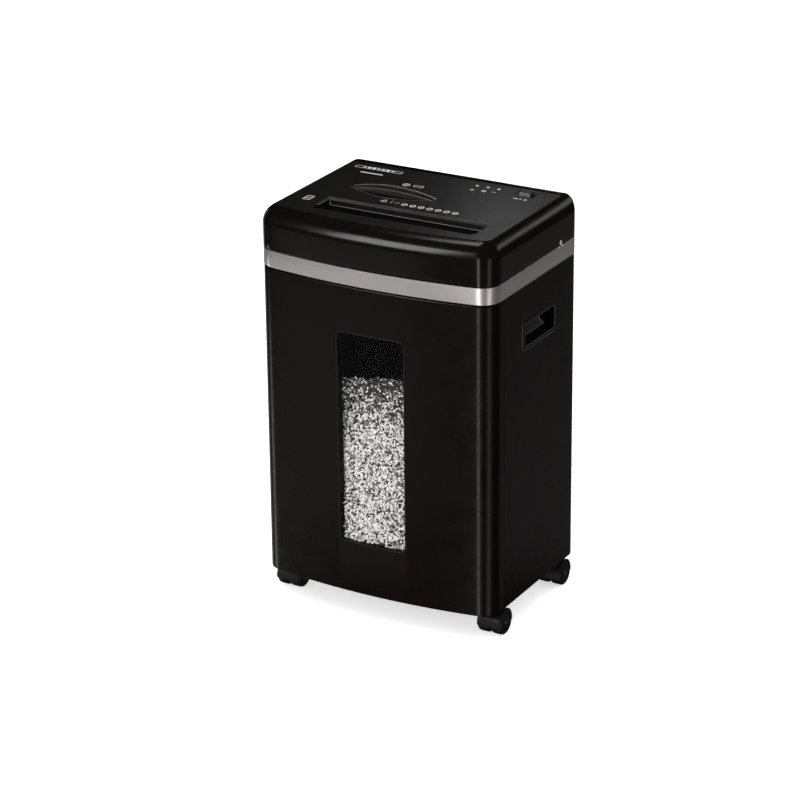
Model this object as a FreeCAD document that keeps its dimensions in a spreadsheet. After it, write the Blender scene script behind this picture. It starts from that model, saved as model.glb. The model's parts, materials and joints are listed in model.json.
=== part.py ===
import FreeCAD, Part
import math
import os
import re
import Sketcher
from FreeCAD import Rotation, Vector

# Paper shredder: a wheeled cabinet with a pull-out bin, a shredding head on top and four twin-wheel casters.
# Frame: origin at the centre of the footprint on the floor, +Z up, -Y is the front, +X is the right side.

doc = FreeCAD.newDocument("paper_shredder")

SIZES = {
    # plan outline, shared by the cabinet, the band and the head
    "half_width": 185.0, "front_y": -138.1, "rear_y": 138.1, "bow_radius": 981.0,
    "front_corner": 29.0, "rear_corner": 18.0,
    # heights
    "cabinet_bottom": 43.0, "cabinet_top": 504.7, "band_bottom": 505.5, "band_top": 531.0, "head_top": 592.0,
    # walls and gaps
    "skin_inset": 0.4, "wall": 3.0, "seam_y": -84.7, "seam_gap": 0.6, "plate": 4.0, "slack": 0.4,
    # rounding of the head
    "round_radius": 26.9, "round_start": 567.0, "rear_round": 11.0, "front_stretch": 1.18,
    "panel_thick": 2.6, "panel_side": 17.4, "panel_front": 20.6, "panel_rear": 21.1, "panel_corner": 12.0,
    "panel_rear_corner": 6.0,
    # vents in the rear of the head
    "vent_first": -72.0, "vent_pitch": 10.0, "vent_wide": 4.0, "vent_low": 541.0, "vent_high": 569.0,
    # window in the bin front
    "window_left": -50.5, "window_right": 56.0, "window_low": 121.0, "window_high": 437.0, "window_corner": 9.0,
    "pane_recess": 1.2, "pane_thick": 2.0, "reveal_depth": 13.0, "reveal_wall": 2.0,
    # bin
    "tub_half": 172.0, "tub_rear": 120.0, "tub_low": 52.0, "tub_high": 402.0, "tub_wall": 2.5,
    "heap_high": 374.0, "heap_skin": 12.0, "heap_front": 17.0,
    "tab_left": 136.0, "tab_right": 148.0, "tab_front": -124.5, "tab_rear": -96.0, "tab_low": 446.0,
    "tab_high": 451.0,
    # cabinet ledges, base plate, its foot pad, rails and screws
    "upper_reach": 11.0, "lower_reach": 13.0, "pad_half": 125.0, "pad_front": -50.0, "pad_rear": 105.0,
    "pad_drop": 2.0, "rail_near": 120.0, "rail_far": 132.0, "rail_front": -100.0, "rail_rear": 112.0,
    "screw_inset": 9.0, "screw_radius": 1.6, "socket_radius": 6.0, "flange_radius": 9.0, "overshoot": 5.0,
    # grip pockets in the cabinet sides
    "grip_front": -26.0, "grip_rear": 65.0, "grip_low": 416.5, "grip_high": 450.0, "grip_depth": 25.0,
    "grip_knee": 431.0, "grip_knee_depth": 19.0, "grip_rim": 5.0, "grip_wall": 2.0,
    # paper throat: recess in the panel that narrows to the slot
    "recess_left": -115.0, "recess_right": 140.0, "recess_front": -79.0, "recess_rear": -41.0,
    "slot_left": -106.0, "slot_right": 124.0, "slot_front": -62.0, "slot_rear": -54.0,
    "slot_level": 579.0, "slot_end": 558.0, "guide_wall": 2.5,
    # card and disc slot
    "card_left": -110.0, "card_right": 22.0, "card_slot_left": -106.0, "card_slot_right": 18.0,
    "card_front": 13.0, "card_rear": 19.0, "lip_front_rise": 6.0, "lip_rear_rise": 9.0, "lip_thick": 4.5,
    "scoop_front": -7.0, "card_end": 577.0,
    # switch, lamps and badge on the panel
    "bezel_left": 104.0, "bezel_right": 140.0, "bezel_front": 85.0, "bezel_rear": 114.0, "bezel_depth": 3.0,
    "button_left": 112.0, "button_right": 132.0, "button_front": 92.0, "button_rear": 107.0, "button_rise": 3.5,
    "stalk_left": 118.0, "stalk_right": 126.0, "stalk_front": 97.3, "stalk_rear": 101.7, "throw": 6.0,
    "switch_top": 8.4, "switch_bottom": 30.0,
    "lamp_radius": 2.6, "lamp_y": 99.5, "lamp_first": 44.0, "lamp_pitch": 17.25, "lamp_length": 12.0,
    "badge_left": -153.0, "badge_right": -75.0, "badge_front": 92.0, "badge_rear": 102.5, "badge_thick": 0.6,
    # cutter block
    "block_left": -111.0, "block_right": 129.0, "side_plate": 3.0, "cutter_level": 506.0,
    "front_axis": -53.0, "rear_axis": -17.0, "disc_radius": 19.6, "hub_radius": 15.6, "disc_thick": 3.7,
    "disc_pitch": 8.0, "shaft_radius": 6.0, "block_front": -80.0, "block_rear": 84.0, "block_top": 556.0,
    "tray_floor": 466.0, "tray_inset": 4.2, "tray_wall": 2.5, "drop_front": -72.0, "drop_rear": 2.0,
    "bush_radius": 10.0, "tie_radius": 3.5, "tie_front": -76.0, "tie_rear": 6.0, "tie_low": 480.0,
    "tie_high": 532.0,
    "comb_low": 498.0, "comb_high": 514.0, "finger_low": 500.0, "finger_high": 512.0,
    # paper sensor with its flag, and the interlock over the bin's tab
    "sensor_half": 9.0, "sensor_front": -80.0, "sensor_rear": -66.0, "sensor_low": 535.5, "sensor_high": 555.0,
    "flag_y": -70.0, "flag_level": 548.0, "flag_half": 2.0, "flag_end": -51.0, "flag_pivot": 2.5,
    "plunger_x": 142.0, "plunger_y": -100.0, "plunger_radius": 3.0, "plunger_foot": 451.6,
    "plunger_length": 21.0,
    # control board
    "board_left": 40.0, "board_right": 118.0, "board_front": 32.0, "board_rear": 104.0, "board_lift": 8.0,
    "board_thick": 1.6, "post_inset": 6.0, "post_radius": 3.0,
    # gears: module, teeth and face width
    "sync_module": 2.0, "sync_teeth": 18, "final_module": 1.5, "final_teeth": 45, "idler_teeth": 12,
    "wheel_module": 1.0, "wheel_teeth": 40, "pinion_teeth": 10, "idler_lift": 20.0, "backlash": 0.25,
    "idler_pin": 3.0, "cover_front": -76.0, "cover_rear": 79.0, "cover_deep": 36.0, "cover_top": 546.0,
    "cover_wall": 2.0,
    # motor
    "can_radius": 33.0, "can_wall": 3.0, "can_left": -108.0, "can_right": 12.0, "motor_shaft": 4.0,
    "pinion_bore": 2.5, "core_radius": 26.0, "fan_left": 20.0, "fan_hub": 9.0, "fan_wide": 10.0,
    # casters
    "stem_x": 165.0, "stem_front": -63.0, "stem_rear": 122.0, "trail": 13.0, "wheel_radius": 18.5,
    "tread_half": 18.5, "web_half": 3.0, "hood_radius": 20.5, "stem_radius": 4.0, "stem_foot": 33.0,
    "running_gap": 0.08, "boss_foot": 20.0, "boss_radius": 9.0, "axle_radius": 2.5,
    # rear cord gland
    "gland_x": 128.0, "gland_level": 550.0, "gland_radius": 8.5, "gland_bore": 3.7, "gland_neck": 7.5,
    "gland_flange": 12.0, "gland_length": 11.0,
}

sheet = doc.addObject("Spreadsheet::Sheet", "Sizes")
for row, (alias, value) in enumerate(SIZES.items(), start=1):
    sheet.set(f"A{row}", alias)
    sheet.set(f"B{row}", str(value))
    sheet.setAlias(f"B{row}", alias)
doc.recompute()

VENTS = 15
CORNERS = (
    ("front_left", "-stem_x", "stem_front"), ("front_right", "stem_x", "stem_front"),
    ("rear_left", "-stem_x", "stem_rear"), ("rear_right", "stem_x", "stem_rear"),
)

nodes = {}
AXIS_TURN = {
    "x": Rotation(Vector(0, 1, 0), 90),
    "y": Rotation(Vector(1, 0, 0), -90),
    "z": Rotation(),
}


def size(alias):
    """The value of one cell of the sheet."""
    return float(sheet.get(alias))


def value(text):
    """What a size formula comes to, worked out in a spare cell of the sheet."""
    sheet.set("D1", f"={text}")
    sheet.recompute()
    return float(sheet.get("D1"))


def formula(text):
    """A size formula with every alias written as the sheet's cell."""
    return re.sub(r"[a-z][a-z_]*", lambda word: "Sizes." + word[0] if word[0] in SIZES else word[0], str(text))


def bind(item, prop, text):
    item.setExpression(prop, formula(text))


def node(item, name):
    """Name a finished sub-part."""
    item.Label = name
    nodes[name] = item
    return item


def place(item, x=0, y=0, z=0):
    for letter, text in zip("xyz", (x, y, z)):
        bind(item, "Placement.Base." + letter, text)
    return item


# ---------------------------------------------------------------- primitives and booleans

def box(name, x, y, z):
    """A block; x, y and z are each a (low, high) pair of formulas."""
    block = doc.addObject("Part::Box", name)
    for prop, (low, high) in zip(("Length", "Width", "Height"), (x, y, z)):
        bind(block, prop, f"({high})-({low})")
    return place(block, x[0], y[0], z[0])


def rod(name, axis, at, radius, length):
    """A cylinder from the point at, along the named axis."""
    bar = doc.addObject("Part::Cylinder", name)
    bar.Placement.Rotation = AXIS_TURN[axis]
    bind(bar, "Radius", radius)
    bind(bar, "Height", length)
    return place(bar, *at)


def cut(name, base, *tools):
    """base less every tool."""
    item = base
    for count, tool in enumerate(tools, start=1):
        step = doc.addObject("Part::Cut", name if count == len(tools) else f"{name}_step{count}")
        step.Base = item
        step.Tool = tool
        item = step
    return item


def common(name, first, second):
    item = doc.addObject("Part::Common", name)
    item.Base = first
    item.Tool = second
    return item


def fuse(name, *items):
    item = doc.addObject("Part::MultiFuse", name)
    item.Shapes = list(items)
    return item


def group(name, *items):
    """Separate solids kept together as one sub-part."""
    item = doc.addObject("Part::Compound", name)
    item.Links = list(items)
    return item


def mirror_x(name, source):
    item = doc.addObject("Part::Mirroring", name)
    item.Source = source
    item.Normal = Vector(1, 0, 0)
    return item


def extrude(name, sketch, length, along=(0, 0, 1)):
    item = doc.addObject("Part::Extrusion", name)
    item.Base = sketch
    item.DirMode = "Custom"
    item.Dir = Vector(*along)
    item.Solid = True
    bind(item, "LengthFwd", length)
    return item


# ---------------------------------------------------------------- sketches

def dimension(sketch, kind, *where):
    """One driving dimension; the last entry of where is its formula."""
    index = sketch.addConstraint(Sketcher.Constraint(kind, *where[:-1], value(where[-1])))
    bind(sketch, f"Constraints[{index}]", where[-1])


def polygon(name, plane, offset, points, body=None):
    """A closed polygon; corners are pairs of formulas, plane is XY, XZ or YZ, offset is along its normal."""
    if body is None:
        sketch = doc.addObject("Sketcher::SketchObject", name)
        if plane == "XZ":
            sketch.Placement.Rotation = Rotation(Vector(1, 0, 0), 90)
            bind(sketch, "Placement.Base.y", offset)
        elif plane == "YZ":
            sketch.Placement.Rotation = Rotation(Vector(1, 1, 1), 120)
            bind(sketch, "Placement.Base.x", offset)
        else:
            bind(sketch, "Placement.Base.z", offset)
    else:
        sketch = body.newObject("Sketcher::SketchObject", name)
        plane_feature = [item for item in body.Origin.OriginFeatures if item.Role == plane + "_Plane"][0]
        sketch.AttachmentSupport = [(plane_feature, "")]
        sketch.MapMode = "FlatFace"
    count = len(points)
    ring = [Vector(value(across), value(up), 0) for across, up in points]
    sketch.addGeometry([Part.LineSegment(ring[k], ring[(k + 1) % count]) for k in range(count)], False)
    for k in range(count):
        sketch.addConstraint(Sketcher.Constraint("Coincident", k, 2, (k + 1) % count, 1))
    for k, (across, up) in enumerate(points):
        dimension(sketch, "DistanceX", -1, 1, k, 1, across)
        dimension(sketch, "DistanceY", -1, 1, k, 1, up)
    return sketch


def rectangle(low, high):
    return [(low[0], low[1]), (high[0], low[1]), (high[0], high[1]), (low[0], high[1])]


def plan_outline(name, level, side, front=None, rear=None, front_corner=None, rear_corner=None):
    """The bowed-front plan of the cabinet at a height, set in by side, front and rear."""
    front = side if front is None else front
    rear = side if rear is None else rear
    front_corner = f"front_corner-({side})" if front_corner is None else front_corner
    rear_corner = f"rear_corner-({side})" if rear_corner is None else rear_corner
    sketch = doc.addObject("Sketcher::SketchObject", name)
    bind(sketch, "Placement.Base.z", level)
    width, radius = value(f"half_width-({side})"), value(f"bow_radius-({front})")
    corner, rear_radius, back = value(front_corner), value(rear_corner), value(f"rear_y-({rear})")
    bow_y = value("front_y+bow_radius")
    corner_y = bow_y - math.sqrt((radius - corner) ** 2 - (width - corner) ** 2)
    turn = math.atan2(corner_y - bow_y, width - corner)
    half = math.pi / 2

    def arc(x, y, r, start, end):
        return Part.ArcOfCircle(Part.Circle(Vector(x, y, 0), Vector(0, 0, 1), r), start, end)

    sketch.addGeometry([
        arc(0, bow_y, radius, -math.pi - turn, turn),
        arc(width - corner, corner_y, corner, turn, 0),
        Part.LineSegment(Vector(width, corner_y, 0), Vector(width, back - rear_radius, 0)),
        arc(width - rear_radius, back - rear_radius, rear_radius, 0, half),
        Part.LineSegment(Vector(width - rear_radius, back, 0), Vector(rear_radius - width, back, 0)),
        arc(rear_radius - width, back - rear_radius, rear_radius, half, math.pi),
        Part.LineSegment(Vector(-width, back - rear_radius, 0), Vector(-width, corner_y, 0)),
        arc(corner - width, corner_y, corner, math.pi, math.pi - turn),
    ], False)
    for k in range(8):
        sketch.addConstraint(Sketcher.Constraint("Tangent", k, 2, (k + 1) % 8, 1))
    sketch.addConstraint(Sketcher.Constraint("Vertical", 2))
    sketch.addConstraint(Sketcher.Constraint("Vertical", 6))
    sketch.addConstraint(Sketcher.Constraint("Horizontal", 4))
    sketch.addConstraint(Sketcher.Constraint("PointOnObject", 0, 3, -2))
    sketch.addConstraint(Sketcher.Constraint("Equal", 1, 7))
    sketch.addConstraint(Sketcher.Constraint("Equal", 3, 5))
    dimension(sketch, "Radius", 0, f"bow_radius-({front})")
    dimension(sketch, "Radius", 1, front_corner)
    dimension(sketch, "Radius", 3, rear_corner)
    dimension(sketch, "DistanceX", -1, 1, 2, 1, f"half_width-({side})")
    dimension(sketch, "DistanceX", 6, 1, -1, 1, f"half_width-({side})")
    dimension(sketch, "DistanceY", -1, 1, 4, 1, f"rear_y-({rear})")
    dimension(sketch, "DistanceY", -1, 1, 0, 3, "front_y+bow_radius")
    return sketch


def slab(name, inset, low, high):
    """The plan outline set in by inset, between two heights."""
    return extrude(name, plan_outline(name + "_plan", low, inset), f"({high})-({low})")


def tube_wall(name, outer, inner, low, high):
    """A wall that follows the plan outline between two insets and two heights."""
    hollow = slab(name + "_inner", inner, f"({low})-1", f"({high})+1")
    return cut(name, slab(name + "_outer", outer, low, high), hollow)


# ---------------------------------------------------------------- bodies turned about an axis

def turned(name, axis, at, profile):
    """A PartDesign body revolved about its own Z axis from (radius, height) corners, then laid along an axis."""
    body = doc.addObject("PartDesign::Body", name)
    sketch = polygon(name + "_profile", "XZ", 0, profile, body)
    turn = body.newObject("PartDesign::Revolution", name + "_turn")
    turn.Profile = sketch
    turn.ReferenceAxis = (sketch, ["V_Axis"])
    turn.Angle = 360.0
    body.Placement.Rotation = AXIS_TURN[axis]
    return place(body, *at)


# ---------------------------------------------------------------- cabinet

def rounded_prism(name, low, high, level, height, radius):
    """An upright prism with rounded corners, stood in the XZ plane and running along -Y from y = level."""
    block = box(name + "_block", (low[0], high[0]), (f"({level})-({height})", level), (low[1], high[1]))
    item = doc.addObject("Part::Fillet", name)
    item.Base = block
    doc.recompute()
    edges = []
    for index, edge in enumerate(block.Shape.Edges, start=1):
        start, end = (vertex.Point for vertex in edge.Vertexes)
        if abs(start.y - end.y) > 1:
            edges.append((index, size(radius), size(radius)))
    item.Edges = edges
    return item


def make_cabinet():
    behind_seam = box("behind_seam", ("-half_width-overshoot", "half_width+overshoot"),
                      ("seam_y+seam_gap/2", "rear_y+overshoot"),
                      ("cabinet_bottom-overshoot", "cabinet_top+overshoot"))
    skin = tube_wall("shell_skin", "skin_inset", "skin_inset+wall", "cabinet_bottom", "cabinet_top")
    upper_ledge = tube_wall("upper_ledge", "skin_inset+wall/2", "upper_reach", "tray_floor-2*plate",
                            "tray_floor-plate")
    lower_ledge = tube_wall("lower_ledge", "skin_inset+wall/2", "lower_reach", "cabinet_bottom+plate",
                            "cabinet_bottom+2*plate")
    whole = common("shell_behind_seam", fuse("shell_with_ledges", skin, upper_ledge, lower_ledge), behind_seam)
    openings = [
        box(f"grip_hole_{side}", (low, high), ("grip_front-grip_wall", "grip_rear+grip_wall"),
            ("grip_low-grip_wall", "grip_high+grip_wall"))
        for side, low, high in (("left", "-half_width-overshoot", "-half_width+grip_depth/2"),
                                ("right", "half_width-grip_depth/2", "half_width+overshoot"))
    ]
    openings += [rod(f"socket_way_{tag}", "z", (x, y, "cabinet_bottom-overshoot"), "flange_radius+slack",
                     "2*plate+2*overshoot") for tag, x, y in CORNERS]
    node(cut("cabinet_shell", whole, *openings), "cabinet_shell")


def make_base():
    """The base plate, with a foot pad below, the bin's rails above, the caster sockets and the base screws."""
    floor = slab("base_floor", "skin_inset+wall+slack", "cabinet_bottom", "cabinet_bottom+plate")
    pad = box("foot_pad", ("-pad_half", "pad_half"), ("pad_front", "pad_rear"),
              ("cabinet_bottom-pad_drop", "cabinet_bottom"))
    rails = [box(f"rail_{side}", (low, high), ("rail_front", "rail_rear"),
                 ("cabinet_bottom+plate", "tub_low-slack"))
             for side, low, high in (("left", "-rail_far", "-rail_near"), ("right", "rail_near", "rail_far"))]
    holes = [rod(f"base_hole_{tag}", "z", (x, y, "cabinet_bottom-overshoot"), "socket_radius",
                 "plate+2*overshoot")
             for tag, x, y in CORNERS]
    screws = []
    for side, x in (("left", "screw_inset-half_width"), ("right", "half_width-screw_inset")):
        for k, y in enumerate((-45, 30, 100)):
            screws.append(turned(f"screw_{side}_{k}", "z", (x, y, "cabinet_bottom"), [
                (0, -0.8), (0.9, -1.4), (2.2, -1.4), (3, -0.8), (3, 0), ("screw_radius", 0),
                ("screw_radius", "plate"),
                (0, "plate")]))
            holes.append(rod(f"screw_hole_{side}_{k}", "z", (x, y, "cabinet_bottom-overshoot"),
                             "screw_radius+0.1",
                             "plate+2*overshoot"))
    node(group("base_screws", *screws), "base_screws")
    node(cut("base_plate", fuse("base_with_rails", floor, pad, *rails), *holes), "base_plate")

    sockets = [turned(f"socket_{tag}", "z", (x, y, "cabinet_bottom"), [
        ("stem_radius+running_gap", 0), ("socket_radius", 0), ("socket_radius", "plate"),
        ("flange_radius", "plate"),
        ("flange_radius", 6), (7, 6), (7, 8.5), (0, 8.5), (0, 7.2), ("stem_radius+running_gap", 7.2)])
        for tag, x, y in CORNERS]
    node(group("caster_sockets", *sockets), "caster_sockets")


def make_grip(side):
    """A finger pocket with a slanted back, whose rim stands just proud of the cabinet's side."""
    hollow = [("half_width+1", "grip_high"), ("half_width-grip_depth", "grip_high"),
              ("half_width-grip_knee_depth", "grip_knee"), ("half_width-1.5", "grip_low"),
              ("half_width+1", "grip_low")]
    jacket = [("half_width-skin_inset", "grip_high+grip_wall"),
              ("half_width-grip_depth-grip_wall", "grip_high+grip_wall"),
              ("half_width-grip_knee_depth-grip_wall", "grip_knee-grip_wall/2"),
              ("half_width-1.5-grip_wall", "grip_low-grip_wall"),
              ("half_width-skin_inset", "grip_low-grip_wall")]
    outer = extrude(f"grip_jacket_{side}", polygon(f"grip_jacket_plan_{side}", "XZ", "grip_rear+grip_wall",
                                                   jacket),
                    "grip_rear-grip_front+2*grip_wall", (0, -1, 0))
    rim = box(f"grip_rim_{side}", ("half_width-skin_inset", "half_width"),
              ("grip_front-grip_rim", "grip_rear+grip_rim"), ("grip_low-grip_rim", "grip_high+grip_rim"))
    inner = extrude(f"grip_hollow_{side}", polygon(f"grip_hollow_plan_{side}", "XZ", "grip_rear", hollow),
                    "grip_rear-grip_front", (0, -1, 0))
    return cut(f"grip_cup_{side}", fuse(f"grip_body_{side}", outer, rim), inner)


# ---------------------------------------------------------------- bin

def make_bin():
    ahead_of_seam = box("ahead_of_seam", ("-half_width-overshoot", "half_width+overshoot"),
                        ("front_y-overshoot", "seam_y-seam_gap/2"),
                        ("cabinet_bottom-overshoot", "cabinet_top+overshoot"))
    skin = tube_wall("front_skin", "skin_inset", "skin_inset+wall", "cabinet_bottom+slack", "cabinet_top")
    window = rounded_prism("window_hole", ("window_left", "window_low"), ("window_right", "window_high"),
                           -100, 60, "window_corner")
    tab = box("interlock_tab", ("tab_left", "tab_right"), ("tab_front", "tab_rear"), ("tab_low", "tab_high"))
    bowed = common("front_panel", skin, ahead_of_seam)
    node(fuse("bin_front", cut("front_with_window", bowed, window), tab), "bin_front")

    pane_hole = rounded_prism("pane_hole", ("window_left", "window_low"), ("window_right", "window_high"),
                              -100, 60, "window_corner")
    pane_skin = tube_wall("pane_skin", "skin_inset+pane_recess", "skin_inset+pane_recess+pane_thick",
                          "window_low-overshoot", "window_high+overshoot")
    node(common("window_pane", pane_skin, pane_hole), "window_pane")

    outer = rounded_prism("reveal_outer", ("window_left-reveal_wall", "window_low-reveal_wall"),
                          ("window_right+reveal_wall", "window_high+reveal_wall"),
                          "front_y+skin_inset+wall+reveal_depth", 30, "window_corner")
    inner = rounded_prism("reveal_inner", ("window_left", "window_low"), ("window_right", "window_high"),
                          -100, 60, "window_corner")
    behind_front = slab("behind_front", "skin_inset+wall", 0, "head_top")
    node(common("window_frame", cut("reveal_ring", outer, inner), behind_front), "window_frame")

    shell = common("tub_block", box("tub_box", ("-tub_half", "tub_half"), (-160, "tub_rear"),
                                    ("tub_low", "tub_high")),
                   slab("tub_front_limit", "skin_inset+wall", 0, "head_top"))
    hollow = box("tub_hollow", ("tub_wall-tub_half", "tub_half-tub_wall"), (-170, "tub_rear-tub_wall"),
                 ("tub_low+tub_wall", "tub_high+1"))
    node(cut("bin_tub", shell, hollow), "bin_tub")

    heap = common("heap_block", box("heap_box", ("tub_wall+slack-tub_half", "tub_half-tub_wall-slack"),
                                    (-160, "tub_rear-tub_wall-slack"), ("tub_low+tub_wall+slack", "heap_high")),
                  slab("heap_front_limit", "skin_inset+heap_front", 0, "head_top"))
    core = box("heap_core", ("tub_wall+heap_skin-tub_half", "tub_half-tub_wall-heap_skin"),
               ("front_y+heap_front+heap_skin+14", "tub_rear-tub_wall-heap_skin"),
               ("tub_low", "heap_high-heap_skin"))
    node(cut("paper_shreds", heap, core), "paper_shreds")


# ---------------------------------------------------------------- head

def rounding_sections(prefix, thickness):
    """Plan outlines that climb the rounded edge of the head; thickness sets an inner set of them in."""
    sections = []
    for angle in (0, 12, 24, 36, 47, 58, 68.3):
        level = f"round_start+round_radius*sin({angle})-{thickness}"
        side = f"round_radius*(1-cos({angle}))+{thickness}"
        front = f"round_radius*(1-cos({angle}))*front_stretch+{thickness}"
        rise = f"round_start+round_radius*sin({angle})-(head_top-rear_round)"
        rear = f"{rise}>0?rear_round-sqrt(abs(rear_round^2-({rise})^2))+{thickness}:{thickness}"
        front_corner = f"front_corner-round_radius*(1-cos({angle}))-{thickness}"
        rear_corner = f"rear_corner-0.8*round_radius*(1-cos({angle}))-0.4*{thickness}"
        sections.append(plan_outline(f"{prefix}_{int(angle)}", level, side, front, rear, front_corner,
                                     rear_corner))
    return sections


def loft(name, sections):
    item = doc.addObject("Part::Loft", name)
    item.Sections = sections
    item.Solid = True
    item.Ruled = False
    return item


def ruled_loft(name, low, low_level, high, high_level):
    """A tapered block between two rectangles, each a pair of corners."""
    item = doc.addObject("Part::Loft", name)
    item.Sections = [polygon(name + "_low", "XY", low_level, rectangle(*low)),
                     polygon(name + "_high", "XY", high_level, rectangle(*high))]
    item.Solid = True
    item.Ruled = True
    return item


def arch(name, left, right, rise, front, rear, foot):
    """A low arched wall along X: a circular arc on top of a block that goes down to foot."""
    span = size(right) - size(left)
    radius = (span ** 2 / 4 + size(rise) ** 2) / (2 * size(rise))
    wheel = rod(name + "_wheel", "y", (f"(({left})+({right}))/2", front, f"head_top+{rise}-{radius}"), radius,
                f"({rear})-({front})")
    block = box(name + "_block", (left, right), (front, rear), (foot, f"head_top+{rise}+1"))
    return common(name, wheel, block)


def make_head():
    outer = fuse("cover_outer", slab("cover_skirt", 0, "band_top", "round_start"),
                 loft("cover_dome", rounding_sections("outer", 0)))
    hollow = cut("cover_shell", outer, slab("cover_skirt_hollow", "wall", "band_top-1", "round_start-wall"),
                 loft("cover_dome_hollow", rounding_sections("inner", 3)))
    panel_plan = plan_outline("panel_plan", "head_top-panel_thick", "panel_side", "panel_front", "panel_rear",
                              "panel_corner", "panel_rear_corner")
    roof_plan = plan_outline("roof_plan", "head_top-wall-2*overshoot", "panel_side", "panel_front",
                             "panel_rear",
                             "panel_corner", "panel_rear_corner")
    roof_hole = extrude("roof_hole", roof_plan, "wall+3*overshoot")
    gland_hole = rod("gland_hole", "y", ("gland_x", "rear_y-2*overshoot", "gland_level"), "gland_radius",
                     "3*overshoot")
    vents = [box(f"vent_{k}", (f"vent_first+{k}*vent_pitch", f"vent_first+{k}*vent_pitch+vent_wide"),
                 ("rear_y-wall-overshoot", "rear_y+overshoot"),
                 ("vent_low", "vent_high")) for k in range(VENTS)]
    node(cut("head_cover", hollow, roof_hole, gland_hole, fuse("vent_row", *vents)), "head_cover")

    # the panel, with the recess of the throat, the card slot, the scoop ahead of it, the switch and the lamps
    slope = ruled_loft("recess_slope", (("slot_left", "slot_front"), ("slot_right", "slot_rear")), "slot_level",
                       (("recess_left", "recess_front"), ("recess_right", "recess_rear")), "head_top+0.01")
    card_bed = box("card_bed", ("card_left", "card_right"), ("card_front-lip_thick", "card_rear+lip_thick"),
                   ("head_top-2*overshoot", "head_top+overshoot"))
    bezel_bed = box("bezel_bed", ("bezel_left", "bezel_right"), ("bezel_front", "bezel_rear"),
                    ("head_top-2*overshoot", "head_top+overshoot"))
    lamp_x = [f"lamp_first+{k}*lamp_pitch" for k in range(3)]
    lamp_beds = fuse("lamp_beds", *[rod(f"lamp_bed_{k}", "z", (x, "lamp_y", "head_top-2*overshoot"),
                                        "lamp_radius",
                                        "3*overshoot") for k, x in enumerate(lamp_x)])
    scoop = ruled_scoop()
    slab_of_panel = extrude("panel_slab", panel_plan, "panel_thick")
    node(cut("top_panel", slab_of_panel, slope, card_bed, bezel_bed, lamp_beds, scoop), "top_panel")

    # throat insert: the jacket round the recess and the slot, under the panel
    jacket = ruled_loft(
        "throat_jacket",
        (("slot_left-guide_wall", "slot_front-guide_wall"), ("slot_right+guide_wall", "slot_rear+guide_wall")),
        "slot_level-guide_wall",
        (("recess_left-guide_wall", "recess_front-guide_wall"),
         ("recess_right+guide_wall", "recess_rear+guide_wall")),
        "head_top-panel_thick")
    spout = box("throat_spout", ("slot_left-guide_wall", "slot_right+guide_wall"),
                ("slot_front-guide_wall", "slot_rear+guide_wall"), ("slot_end", "slot_level"))
    slot = box("throat_slot", ("slot_left", "slot_right"), ("slot_front", "slot_rear"),
               ("slot_end-overshoot", "slot_level+3"))
    recess = ruled_loft("throat_recess", (("slot_left", "slot_front"), ("slot_right", "slot_rear")),
                        "slot_level",
                        (("recess_left", "recess_front"), ("recess_right", "recess_rear")), "head_top+0.01")
    node(cut("throat_insert", fuse("throat_body", jacket, spout), slot, recess), "throat_insert")

    # card guide: two arched lips with the slot between them
    lip_front = arch("lip_front", "card_left", "card_right", "lip_front_rise", "card_front-lip_thick",
                     "card_front",
                     "card_end")
    lip_rear = arch("lip_rear", "card_left", "card_right", "lip_rear_rise", "card_rear", "card_rear+lip_thick",
                    "card_end")
    ends = [box("card_end_left", ("card_left", "card_slot_left"), ("card_front", "card_rear"),
                ("card_end", "head_top")),
            box("card_end_right", ("card_slot_right", "card_right"), ("card_front", "card_rear"),
                ("card_end", "head_top"))]
    node(fuse("card_slot_guide", lip_front, lip_rear, *ends), "card_slot_guide")

    bezel = box("bezel_block", ("bezel_left", "bezel_right"), ("bezel_front", "bezel_rear"),
                ("head_top-bezel_depth-2", "head_top"))
    bowl = ruled_loft("bezel_bowl", (("bezel_left+4", "bezel_front+4"), ("bezel_right-4", "bezel_rear-4")),
                      "head_top-bezel_depth", (("bezel_left+1", "bezel_front+1"),
                                               ("bezel_right-1", "bezel_rear-1")),
                      "head_top+0.01")
    stalk_way = box("bezel_way", ("stalk_left-throw", "stalk_right+throw"),
                    ("stalk_front-0.3", "stalk_rear+0.3"),
                    ("head_top-2*overshoot", "head_top"))
    node(cut("switch_bezel", bezel, bowl, stalk_way), "switch_bezel")

    button = ruled_loft("button_cap", (("button_left", "button_front"), ("button_right", "button_rear")),
                        "head_top-bezel_depth+slack",
                        (("button_left+2", "button_front+1.5"), ("button_right-2", "button_rear-1.5")),
                        "head_top+button_rise")
    stalk = box("button_stalk", ("stalk_left", "stalk_right"), ("stalk_front", "stalk_rear"),
                ("head_top-switch_top+slack", "head_top"))
    node(fuse("power_switch", button, stalk), "power_switch")
    node(box("switch_body", ("bezel_left+4", "bezel_right-4"), ("button_front", "button_rear"),
             ("head_top-switch_bottom", "head_top-switch_top")), "switch_body")

    lamps = [turned(f"lamp_{k}", "z", (x, "lamp_y", "head_top-lamp_length"), [
        (0, 0), ("lamp_radius", 0), ("lamp_radius", "lamp_length-0.2"), ("lamp_radius-0.8", "lamp_length+0.3"),
        (0, "lamp_length+0.5")]) for k, x in enumerate(lamp_x)]
    node(group("indicator_lenses", *lamps), "indicator_lenses")
    node(box("badge_plate", ("badge_left", "badge_right"), ("badge_front", "badge_rear"),
             ("head_top", "head_top+badge_thick")), "badge_plate")

    node(tube_wall("silver_band", 0, "tray_inset", "band_bottom", "band_top"), "silver_band")


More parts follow.
